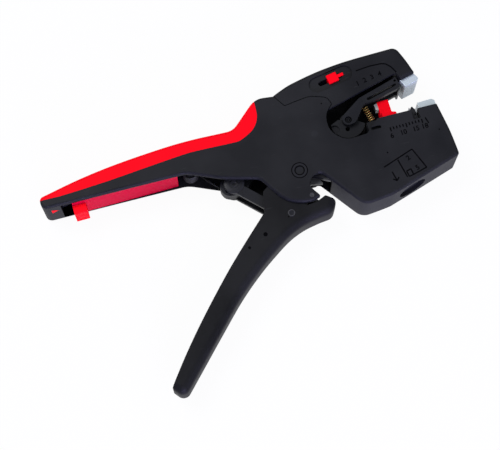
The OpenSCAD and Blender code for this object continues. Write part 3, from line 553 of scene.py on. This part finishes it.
def bow_chords(work):
    """Bow the outlines' straight chords, so that they make smooth curves through the same points."""
    edges = [edge for edge in work.edges if is_outline(edge)]
    outline = set(edges)
    groups = {LONG_CUTS: [], SHORT_CUTS: []}
    for edge in edges:
        first, last = (lean_at(edge, vert, outline) for vert in edge.verts)
        length = edge.calc_length()
        if first is None or last is None or length < LEAST_CHORD:
            continue
        if max(abs(first), abs(last)) > LEAST_LEAN:
            a, b = (vert.co.copy() for vert in edge.verts)
            groups[LONG_CUTS if length > LONG_CHORD else SHORT_CUTS].append((edge, a, b, first, last))
    for cuts, chords in groups.items():
        bmesh.ops.subdivide_edges(
            work, edges=[chord[0] for chord in chords], cuts=cuts, use_grid_fill=False)
    work.verts.index_update()
    work.verts.ensure_lookup_table()
    finder = KDTree(len(work.verts))
    for vert in work.verts:
        finder.insert(vert.co, vert.index)
    finder.balance()
    for cuts, chords in groups.items():
        for _, a, b, first, last in chords:
            for k in range(1, cuts + 1):
                t = k / (cuts + 1)
                _, index, miss = finder.find(a.lerp(b, t))
                if miss < TINY:
                    work.verts[index].co = on_curve(a, b, first, last, t)


def round_end(work, radius):
    """Draw a bar's low end along X in to a half circle, through slices that are cut across it first.

    y = middle + (y - middle) * sqrt(1 - u * u), where u falls from nearly 1 at the end to 0 a radius away.
    """
    end = min(vert.co.x for vert in work.verts)
    for k in range(1, END_SLICES + 1):
        place = end + radius * (1.0 - math.cos(math.pi / 2 * k / END_SLICES))
        bmesh.ops.bisect_plane(
            work, geom=[*work.verts, *work.edges, *work.faces], dist=SLICE_GAP,
            plane_co=(place, 0.0, 0.0), plane_no=(1.0, 0.0, 0.0))
    near = [vert for vert in work.verts if vert.co.x < end + radius]
    middle = (min(vert.co.y for vert in near) + max(vert.co.y for vert in near)) / 2
    for vert in near:
        u = (end + radius - vert.co.x) / (radius * END_BLUNT)
        vert.co.y = middle + (vert.co.y - middle) * math.sqrt(1.0 - u * u)


def rounded_copy(node, width):
    """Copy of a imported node: its triangles are merged, its flat faces made whole, its edges bevelled."""
    mesh = frame["nodes"][node].data.copy()
    work = bmesh.new()
    work.from_mesh(mesh)
    bmesh.ops.remove_doubles(work, verts=work.verts, dist=MERGE_GAP)
    bmesh.ops.dissolve_degenerate(work, edges=work.edges, dist=TINY)
    bmesh.ops.dissolve_limit(work, angle_limit=FLAT, verts=work.verts, edges=work.edges)
    if node in END_ROUNDS:
        round_end(work, END_ROUNDS[node])
    else:
        bow_chords(work)
    work.to_mesh(mesh)
    work.free()
    piece = add_piece(node + "_rounded", mesh, finish_of(node), BODY_OF[node])
    mesh.set_sharp_from_angle(angle=SHARP_ANGLE)
    bevel = piece.modifiers.new("broken edges", "BEVEL")
    bevel.width = width
    bevel.segments = BREAK_SEGMENTS
    bevel.limit_method = "ANGLE"
    bevel.angle_limit = BREAK_ANGLE
    bevel.use_clamp_overlap = True
    bevel.harden_normals = True
    flat = piece.modifiers.new("flat faces", "WEIGHTED_NORMAL")
    flat.mode = "FACE_AREA"
    flat.weight = 100
    flat.keep_sharp = True
    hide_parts(node)


# Pieces

class STRIPPER_OT_finish_nodes(Operator):
    """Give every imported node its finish"""

    bl_idname = "stripper.finish_nodes"
    bl_label = "Finish the parts"

    def execute(self, context):
        FINISHES.update(make_finishes())
        for name, node in frame["nodes"].items():
            node.data.materials.clear()
            node.data.materials.append(FINISHES[finish_of(name)])
        return {"FINISHED"}


class STRIPPER_OT_round_mouldings(Operator):
    """Bow the outlines and break the edges of the big black and red mouldings"""

    bl_idname = "stripper.round_mouldings"
    bl_label = "Round the mouldings"

    parts = (
        "front_shell", "back_shell", "front_grip_inlay", "back_grip_inlay", "moving_handle",
        "upper_jaw_front", "upper_jaw_back", "lock_slide")

    def execute(self, context):
        for node in self.parts:
            rounded_copy(node, sizes().edge_round)
        return {"FINISHED"}


class STRIPPER_OT_round_working_parts(Operator):
    """Bow the outlines and break the edges of the levers, slides, pins and steel jaws"""

    bl_idname = "stripper.round_working_parts"
    bl_label = "Round the working parts"

    parts = (
        "front_toggle_plate", "back_toggle_plate", "pull_rod", "lower_blade_carrier", "rocker_plate",
        "upper_blade_arm", "length_stop", "depth_slider", "upper_clamp_jaw", "lower_clamp_jaw",
        "main_pivot_pin", "handle_link_pin", "toggle_boss_pin", "knuckle_pin")

    def execute(self, context):
        for node in self.parts:
            rounded_copy(node, sizes().fine_edge_round)
        return {"FINISHED"}


class STRIPPER_OT_wind_return_spring(Operator):
    """Wind the leg spring that opens the handle, round its spool"""

    bl_idname = "stripper.wind_return_spring"
    bl_label = "Wind the return spring"

    turns = 5
    coil_radius = 3.4 * MM
    start_degrees = 51.0
    pitch_in_wires = 1.6
    first_leg = ((-37.05 * MM, 7.80 * MM), (-41.73 * MM, 12.87 * MM))
    last_leg = (-49.92 * MM, 22.425 * MM)

    def execute(self, context):
        """helix(t) = centre + radius * (cos t, sin t), which rises by the pitch in each turn.

        A straight leg leads to its lower end and another one leaves its upper end.
        """
        wire = sizes().return_wire
        pitch = wire * self.pitch_in_wires
        spool_low, spool_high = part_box("return_spring_spool")
        centre = (spool_low + spool_high) / 2
        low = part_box("return_spring")[0].z + wire / 2
        t = coil_angles(self.turns)
        angle = t + math.radians(self.start_degrees)
        coil = np.stack([
            centre.x + self.coil_radius * np.cos(angle),
            centre.y + self.coil_radius * np.sin(angle),
            low + pitch * t / FULL_TURN], axis=1)
        lead = [(*place, low) for place in self.first_leg]
        leave = [(*self.last_leg, low + pitch * self.turns)]
        spring = swept(np.concatenate([lead, coil, leave]), ring_section(wire / 2 * WIRE_SHARE))
        finish = finish_of("return_spring")
        piece = add_piece("return_spring_wound", spring, finish, "housing")
        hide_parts("return_spring")
        return {"FINISHED"}


class STRIPPER_OT_wind_blade_spring(Operator):
    """Wind the small golden spring that holds the blades open"""

    bl_idname = "stripper.wind_blade_spring"
    bl_label = "Wind the blade spring"

    turns = 7
    coil_radius = 1.2 * MM
    wire_sides = 10
    foot = (41.535 * MM, 16.575 * MM)
    head = (39.975 * MM, 24.765 * MM)

    def execute(self, context):
        """helix(t) round the line from foot to head, its turns evenly spread over the line's length."""
        wire = sizes().blade_wire
        low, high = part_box("blade_spring")
        z = (low.z + high.z) / 2
        foot, head = np.array((*self.foot, z)), np.array((*self.head, z))
        length = np.linalg.norm(head - foot)
        axis = (head - foot) / length
        up = np.array((0.0, 0.0, 1.0))
        side = np.cross(up, axis)
        t = coil_angles(self.turns)
        rise = wire / 2 + (length - wire) * t / t[-1]
        coil = (foot + self.coil_radius * np.cos(t)[:, None] * side
                + self.coil_radius * np.sin(t)[:, None] * up + rise[:, None] * axis)
        spring = swept(coil, ring_section(wire / 2 * WIRE_SHARE, self.wire_sides), axis)
        piece = add_piece("blade_spring_wound", spring, "brass_spring", "blade_arm")
        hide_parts("blade_spring")
        return {"FINISHED"}


def sunk_marks(name, lines, body, top=FRONT):
    """Flat fillings along broken lines on a face, given in millimetres, as one piece, near black as
    painted shade of sunk lines.
    """
    section = flat_section(sizes().mark_width, sizes().mark_lift)
    shapes = []
    for line in lines:
        flat = dense(np.array(line) * MM)
        shapes.append(swept(np.pad(flat, ((0, 0), (0, 1)), constant_values=top), section))
    add_piece(name, joined(shapes), "mark_painted_shade", body, smooth=False)


def numbers(name, words, body, slant=0.0, top=FRONT):
    """Plain numbers laid flat on a face and slanted by degrees, each at its own place in millimetres, near
    black as painted shade of sunk numbers.
    """
    slanted = Matrix.Rotation(math.radians(slant), 4, "Z")
    shapes = []
    for text, x, y in words:
        curve = bpy.data.curves.new("number", "FONT")
        curve.body = text
        curve.size = sizes().number_height
        curve.align_x = "CENTER"
        curve.align_y = "CENTER"
        curve.extrude = sizes().mark_lift
        curve.offset = sizes().mark_width * NUMBER_WEIGHT
        holder = bpy.data.objects.new("number", curve)
        bpy.context.scene.collection.objects.link(holder)
        bpy.context.view_layer.update()
        written = holder.evaluated_get(bpy.context.evaluated_depsgraph_get())
        mesh = bpy.data.meshes.new_from_object(written)
        mesh.transform(Matrix.Translation((x * MM, y * MM, top)) @ slanted)
        bpy.data.objects.remove(holder)
        bpy.data.curves.remove(curve)
        shapes.append(mesh)
    add_piece(name, joined(shapes), "mark_painted_shade", body, smooth=False)


class STRIPPER_OT_mark_head(Operator):
    """Sink the length scale and the plain guide lines into the head"""

    bl_idname = "stripper.mark_head"
    bl_label = "Mark the head"

    # Places on the front face in millimetres
    scale_x = (47.0, 62.5)
    scale_y = (7.2, 8.6)
    scale_count = 11
    long_every, long_more = 5, 0.7  # every fifth tick reaches this much further down
    end_line = ((64.4, 8.8), (65.2, 5.7))
    scale_words = (("6", 46.7, 4.3), ("10", 52.4, 4.5), ("15", 58.6, 4.6), ("18", 63.0, 4.7))
    guide_lines = (
        ((38.3, -9.5), (53.6, -4.5), (57.5, -14.9)),
        ((45.6, -7.7), (47.5, -17.0)),
        ((41.3, -12.6), (42.3, -17.4), (43.6, -16.0)),
        ((42.3, -17.4), (40.7, -16.2)),
        ((50.6, -16.6), (57.5, -14.9)),
        ((47.9, -14.2), (50.2, -13.6), (50.6, -16.6), (48.4, -17.0), (47.9, -14.2)))
    guide_words = (("2", 50.6, -8.2), ("5", 53.4, -13.9))
    guide_slant = 18.0

    def execute(self, context):
        low, high = self.scale_y
        ticks = []
        for index, x in enumerate(np.linspace(*self.scale_x, self.scale_count)):
            foot = low if index % self.long_every else low - self.long_more
            ticks.append(((x, foot), (x, high)))
        sunk_marks("head_scale", [*ticks, self.end_line], "housing")
        sunk_marks("head_guide_lines", self.guide_lines, "housing")
        numbers("head_scale_numbers", self.scale_words, "housing")
        numbers("head_guide_numbers", self.guide_words, "housing", slant=self.guide_slant)
        return {"FINISHED"}


class STRIPPER_OT_mark_upper_jaw(Operator):
    """Sink the slider's frame line and plain numbers into the upper jaw"""

    bl_idname = "stripper.mark_upper_jaw"
    bl_label = "Mark the upper jaw"

    # Places on the jaw's face in millimetres
    frame_line = ((39.9, 40.4), (47.0, 40.9), (52.6, 40.6), (54.6, 39.9), (56.6, 37.8), (58.3, 34.4))
    words = (("1", 38.9, 33.9), ("2", 42.6, 34.6), ("3", 46.4, 35.2), ("4", 50.4, 35.8))
    slant = 6.0

    def execute(self, context):
        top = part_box("upper_jaw_front")[1].z
        sunk_marks("jaw_frame_line", [self.frame_line], "upper_jaw", top)
        numbers("jaw_numbers", self.words, "upper_jaw", self.slant, top)
        return {"FINISHED"}


class STRIPPER_OT_set_pips(Operator):
    """Set the small round moulding marks on the handle and the head"""

    bl_idname = "stripper.set_pips"
    bl_label = "Set the moulding marks"

    # Place and radius of each pip in millimetres
    handle_pips = ((-23.7, -24.8, 1.0), (-32.6, -29.0, 0.7), (-11.0, -19.6, 0.35))
    head_pips = ((42.1, -3.0, 0.4), (69.0, 1.4, 0.35), (60.4, 11.6, 0.45), (19.3, 29.0, 0.35))
    lip_pips = ((2.1, -13.1, 1.1),)
    # Radius over the pip's own, and height over the mark lift
    profile = ((1.0, -1.0), (1.0, 0.6), (0.86, 2.0), (0.72, 1.2), (0.66, 0.1), (0.05, 0.1))

    def execute(self, context):
        """Each mark is a low ring with a sunk middle: its height falls from the rim to the middle."""
        handle_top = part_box("moving_handle")[1].z
        # The handle's and the head's pips wear the near-black mark finish, painted shade of a sunk mark
        for name, places, body, top, finish in (
                ("handle_pips", self.handle_pips, "handle", handle_top, "mark_painted_shade"),
                ("head_pips", self.head_pips, "housing", FRONT, "mark_painted_shade"),
                ("lip_pip", self.lip_pips, "housing", FRONT, "worn_pivot")):
            shapes = []
            for x, y, radius in places:
                profile = np.array(self.profile) * (radius * MM, sizes().mark_lift)
                shapes.append(turned(profile, (x * MM, y * MM, top)))
            add_piece(name, joined(shapes), finish, body)
        return {"FINISHED"}


class STRIPPER_OT_ring_pivots(Operator):
    """Turn the raised rings on the main pivot, the knuckle and the link pin"""

    bl_idname = "stripper.ring_pivots"
    bl_label = "Ring the pivots"

    # Piece, the pin that it lies on, radius over the pin's, finish
    rings = (
        # Rings in the mark finish are near black as painted shade; the link pin's ring wears pivot plastic
        ("main_pivot_ring", "main_pivot_pin", 0.97, "mark_painted_shade"),
        ("main_pivot_inner_ring", "main_pivot_pin", 0.58, "mark_painted_shade"),
        ("knuckle_ring", "knuckle_pin", 0.84, "mark_painted_shade"),
        ("knuckle_inner_ring", "knuckle_pin", 0.40, "mark_painted_shade"),
        ("link_pin_ring", "handle_link_pin", 0.80, "worn_pivot"),
    )
    ring_points = 73
    bead_points = 9
    bead_reach, bead_lift = 0.24 * MM, 0.05 * MM  # half of the bead's width, and its height

    def execute(self, context):
        """Each ring is a half-round bead: height = lift * sqrt(1 - u * u) across its width."""
        reach, lift = self.bead_reach, self.bead_lift
        u = np.linspace(-1.0, 1.0, self.bead_points)
        section = np.concatenate([
            np.stack([reach * u, lift * np.sqrt(1.0 - u * u)], axis=1),
            [[reach, -lift], [-reach, -lift]]])
        a = np.linspace(0.0, FULL_TURN, self.ring_points)
        for name, pin, share, finish in self.rings:
            low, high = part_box(pin)
            centre = (low + high) / 2
            radius = (high.x - low.x) / 2 * share
            path = np.stack([
                centre.x + radius * np.cos(a), centre.y + radius * np.sin(a), np.full_like(a, high.z)],
                axis=1)
            add_piece(name, swept(path, section), finish, BODY_OF[pin])
        return {"FINISHED"}


def island_boxes(node):
    """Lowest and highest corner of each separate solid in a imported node."""
    work = bmesh.new()
    work.from_mesh(frame["nodes"][node].data)
    bmesh.ops.remove_doubles(work, verts=work.verts, dist=MERGE_GAP)
    left = set(work.verts)
    boxes = []
    while left:
        island, waiting = set(), [next(iter(left))]
        while waiting:
            vert = waiting.pop()
            if vert not in island:
                island.add(vert)
                waiting.extend(edge.other_vert(vert) for edge in vert.link_edges)
        left -= island
        places = np.array([vert.co for vert in island])
        boxes.append((places.min(axis=0), places.max(axis=0)))
    work.free()
    return sorted(boxes, key=lambda box: tuple(box[0]))


class STRIPPER_OT_cut_drives(Operator):
    """Cut the cross drives of the screws in the back"""

    bl_idname = "stripper.cut_drives"
    bl_label = "Cut the screw drives"

    slot_width = 0.55 * MM
    slot_share = 0.62  # a slot's length over the width of the screw's head
    slot_depth = 0.5  # how far its middle lies inside the head, in mark lifts

    def execute(self, context):
        """Each drive is a cross of two slots laid on the head's flat face, dark as painted shade of a
        recess.
        """
        lift = sizes().mark_lift
        section = flat_section(self.slot_width, lift)
        for node in ("shell_screws", "upper_jaw_screws"):
            shapes = []
            for low, high in island_boxes(node):
                x, y = (low[:2] + high[:2]) / 2
                z = low[2] + lift * self.slot_depth
                reach = (high[0] - low[0]) / 2 * self.slot_share
                shapes.append(swept(dense([(x - reach, y, z), (x + reach, y, z)]), section))
                shapes.append(swept(dense([(x, y - reach, z), (x, y + reach, z)]), section))
            add_piece(node + "_drives", joined(shapes), "mark_painted_shade", BODY_OF[node],
                      smooth=False)
        return {"FINISHED"}


class STRIPPER_OT_cap_boss(Operator):
    """Turn the round cap on the toggle's boss, and lay the dark web at the handle's root"""

    bl_idname = "stripper.cap_boss"
    bl_label = "Cap the boss"

    cap_radius = 4.8 * MM
    cap_lift = 0.24 * MM
    ring_radius = 2.0 * MM
    # Radius over the cap's or the ring's, and height over the cap's lift
    rim_profile = ((1.0, -0.3), (1.0, 0.6), (0.96, 1.0))
    ring_profile = (
        (1.25, 1.0), (1.15, 0.3), (1.0, 0.3), (0.9, 1.0), (0.4, 1.0), (0.3, 0.4), (0.05, 0.4))
    cap_sharp = math.radians(40.0)
    # The web's corners and its two heights in millimetres
    web_corners = ((-23.6, 3.6), (-15.6, 1.6), (-14.6, -4.6), (-22.6, -5.0))
    web_heights = (4.95, 5.12)

    def execute(self, context):
        """The cap's height falls from its flat rim into a groove round a low button in the middle.

        The web is a thin flat plate over its four corners.
        """
        low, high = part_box("toggle_boss_pin")
        centre = (low + high) / 2
        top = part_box("front_toggle_plate")[1].z
        profile = np.concatenate([
            np.array(self.rim_profile) * (self.cap_radius, self.cap_lift),
            np.array(self.ring_profile) * (self.ring_radius, self.cap_lift)])
        cap = turned(profile, (centre.x, centre.y, top))
        piece = add_piece("toggle_boss_cap", cap, "boss_black", "toggle")
        piece.data.set_sharp_from_angle(angle=self.cap_sharp)
        corners = [[(x, y, z) for x, y in self.web_corners] for z in self.web_heights]
        web = closed_mesh(np.array(corners) * MM)
        add_piece("handle_root_web", web, "handle_black", "handle", smooth=False)
        return {"FINISHED"}


class STRIPPER_OT_point_lock(Operator):
    """Paint the small red arrow beside the lock on the tail's underside"""

    bl_idname = "stripper.point_lock"
    bl_label = "Point to the lock"

    # Millimetres: the arrow's x and z, and the underside's x and y at its two ends
    corners = ((-116.4, 12.2), (-116.4, 16.6), (-113.2, 14.4))
    wall_x = (-120.3, -51.3)
    wall_y = (14.63, 13.26)

    def execute(self, context):
        """A thin prism over three corners, whose y at each corner's x is that of the sloping wall."""
        lift = sizes().mark_lift
        wall = [np.interp(x, self.wall_x, self.wall_y) * MM for x, _ in self.corners]
        points = np.array([
            [(x * MM, y + rise, z * MM) for (x, z), y in zip(self.corners, wall)]
            for rise in (-lift, lift)])
        arrow = closed_mesh(points)
        add_piece("lock_arrow", arrow, "red_plastic", "housing", smooth=False)
        return {"FINISHED"}


# Studio

class STRIPPER_OT_set_studio(Operator):
    """Lay the pale floor, hang the soft lamps and stand the camera where the photograph was taken"""

    bl_idname = "stripper.set_studio"
    bl_label = "Set the studio"

    camera_place = (-79.4 * MM, -192.9 * MM, 652.3 * MM)
    camera_right = (0.9613, -0.2756, 0.0)
    camera_up = (0.2649, 0.9241, 0.2756)
    sensor_width = 36.0  # millimetres
    focal_in_widths = 2.84  # focal length over the sensor's width
    clip_range = (0.01, 20.0)
    lamps = (
        # name, place in metres, width in metres, watts, colour
        ("key", (-0.35, 0.35, 0.85), 0.45, 6.0, (1.0, 0.99, 0.98)),
        ("fill", (0.45, -0.55, 0.60), 0.80, 2.6, (0.90, 0.92, 1.0)),
        ("side", (-0.05, -0.80, 0.16), 0.40, 9.0, (0.58, 0.54, 1.0)),
    )
    floor_reach = 1.5
    floor_gap = 0.05 * MM
    floor_tones = ((0.76, 0.76, 0.88), (0.80, 0.80, 0.93))
    floor_white = 0.955  # share of white in the floor that a camera or a glossy ray sees
    sky_tint = (0.95, 0.97, 1.0, 1.0)
    sky_rise = (0.1, 0.7)  # upward share of the direction, over which the surround grows brighter
    sky_strength = (0.05, 0.42)
    backdrop = (0.8, 0.8, 0.8, 1.0)

    def execute(self, context):
        self.lay_floor()
        self.light_world()
        self.hang_lamps()
        self.stand_camera()
        context.scene.view_settings.view_transform = "Standard"
        return {"FINISHED"}

    def lay_floor(self):
        """Square of floor under the tool.

        A camera or a glossy ray sees it nearly white, and the rest of its shade keeps a faint shadow.
        """
        finish = Finish("pale_floor")
        finish.set(
            Base_Color=finish.mixed(finish.noise(40.0), *self.floor_tones),
            Roughness=0.8,
            Specular_IOR_Level=0.1)
        glow = finish.add("ShaderNodeEmission", {"Color": (1.0, 1.0, 1.0, 1.0), "Strength": 1.0})
        rays = finish.add("ShaderNodeLightPath").outputs
        seen = finish.add(
            "ShaderNodeMath", {0: rays["Is Camera Ray"], 1: rays["Is Glossy Ray"]}, operation="MAXIMUM")
        share = finish.add(
            "ShaderNodeMath", {0: seen.outputs[0], 1: self.floor_white}, operation="MULTIPLY")
        blend = finish.add("ShaderNodeMixShader", {
            0: share.outputs[0], 1: finish.shader.outputs["BSDF"], 2: glow.outputs["Emission"]})
        finish.fill(finish.nodes["Material Output"], {"Surface": blend.outputs[0]})
        mesh = bpy.data.meshes.new("floor")
        reach, z = self.floor_reach, CAD_LOW.z - self.floor_gap
        corners = [(-reach, -reach, z), (reach, -reach, z), (reach, reach, z), (-reach, reach, z)]
        mesh.from_pydata(corners, [], [(0, 1, 2, 3)])
        mesh.materials.append(finish.material)
        floor = bpy.data.objects.new("floor", mesh)
        bpy.context.scene.collection.objects.link(floor)

    def light_world(self):
        """Grey surround, darker at the horizon than overhead. A camera ray sees an even backdrop."""
        world = bpy.data.worlds.new("studio")
        world.use_nodes = True
        bpy.context.scene.world = world
        tree = Wiring(world.node_tree)
        direction = tree.add("ShaderNodeTexCoord").outputs["Generated"]
        rise = tree.add("ShaderNodeSeparateXYZ", {"Vector": direction}).outputs["Z"]
        surround = tree.nodes["Background"]
        tree.fill(surround, {
            "Color": self.sky_tint, "Strength": tree.between(rise, self.sky_rise, self.sky_strength)})
        backdrop = tree.add("ShaderNodeBackground", {"Color": self.backdrop, "Strength": 1.0})
        rays = tree.add("ShaderNodeLightPath").outputs
        blend = tree.add("ShaderNodeMixShader", {
            0: rays["Is Camera Ray"], 1: surround.outputs[0], 2: backdrop.outputs[0]})
        tree.fill(tree.nodes["World Output"], {"Surface": blend.outputs[0]})

    def hang_lamps(self):
        """Square lamps, each turned towards the middle of the tool."""
        middle = (CAD_LOW + CAD_HIGH) / 2
        for name, place, width, watts, colour in self.lamps:
            lamp = bpy.data.lights.new(name, "AREA")
            lamp.size = width
            lamp.energy = watts
            lamp.color = colour
            holder = bpy.data.objects.new(name, lamp)
            bpy.context.scene.collection.objects.link(holder)
            holder.location = place
            holder.rotation_euler = (middle - Vector(place)).to_track_quat("-Z", "Y").to_euler()

    def stand_camera(self):
        """Camera at the photograph's place, with its three axes as the columns of its turn."""
        lens = bpy.data.cameras.new("camera")
        lens.sensor_fit = "HORIZONTAL"
        lens.sensor_width = self.sensor_width
        lens.lens = self.sensor_width * self.focal_in_widths
        lens.clip_start, lens.clip_end = self.clip_range
        camera = bpy.data.objects.new("camera", lens)
        bpy.context.scene.collection.objects.link(camera)
        right, up = Vector(self.camera_right), Vector(self.camera_up)
        axes = Matrix((right, up, right.cross(up))).transposed()
        camera.matrix_world = Matrix.Translation(self.camera_place) @ axes.to_4x4()
        bpy.context.scene.camera = camera


class STRIPPER_PT_panel(Panel):
    """Sizes, colours and steps of the wire stripper's looks"""

    bl_label = "Wire Stripper"
    bl_idname = "STRIPPER_PT_panel"
    bl_space_type = "VIEW_3D"
    bl_region_type = "UI"
    bl_category = "Wire Stripper"

    def draw(self, context):
        for group in (context.scene.stripper_sizes, context.scene.stripper_colours):
            box = self.layout.box()
            for key in group.__annotations__:
                box.prop(group, key)
        for step in STEPS:
            self.layout.operator(step.bl_idname)


STEPS = (
    STRIPPER_OT_finish_nodes,
    STRIPPER_OT_round_mouldings,
    STRIPPER_OT_round_working_parts,
    STRIPPER_OT_wind_return_spring,
    STRIPPER_OT_wind_blade_spring,
    STRIPPER_OT_mark_head,
    STRIPPER_OT_mark_upper_jaw,
    STRIPPER_OT_set_pips,
    STRIPPER_OT_ring_pivots,
    STRIPPER_OT_cut_drives,
    STRIPPER_OT_cap_boss,
    STRIPPER_OT_point_lock,
    STRIPPER_OT_set_studio,
)
CLASSES = (StripperSizes, StripperColours, *STEPS, STRIPPER_PT_panel)


def register():
    for item in CLASSES:
        bpy.utils.register_class(item)
    bpy.types.Scene.stripper_sizes = PointerProperty(type=StripperSizes)
    bpy.types.Scene.stripper_colours = PointerProperty(type=StripperColours)


def unregister():
    del bpy.types.Scene.stripper_colours
    del bpy.types.Scene.stripper_sizes
    for item in reversed(CLASSES):
        bpy.utils.unregister_class(item)


def main():
    register()
    bpy.ops.stripper.finish_nodes()
    bpy.ops.stripper.round_mouldings()
    bpy.ops.stripper.round_working_parts()
    bpy.ops.stripper.wind_return_spring()
    bpy.ops.stripper.wind_blade_spring()
    bpy.ops.stripper.mark_head()
    bpy.ops.stripper.mark_upper_jaw()
    bpy.ops.stripper.set_pips()
    bpy.ops.stripper.ring_pivots()
    bpy.ops.stripper.cut_drives()
    bpy.ops.stripper.cap_boss()
    bpy.ops.stripper.point_lock()
    bpy.ops.stripper.set_studio()


if __name__ == "__main__":
    main()
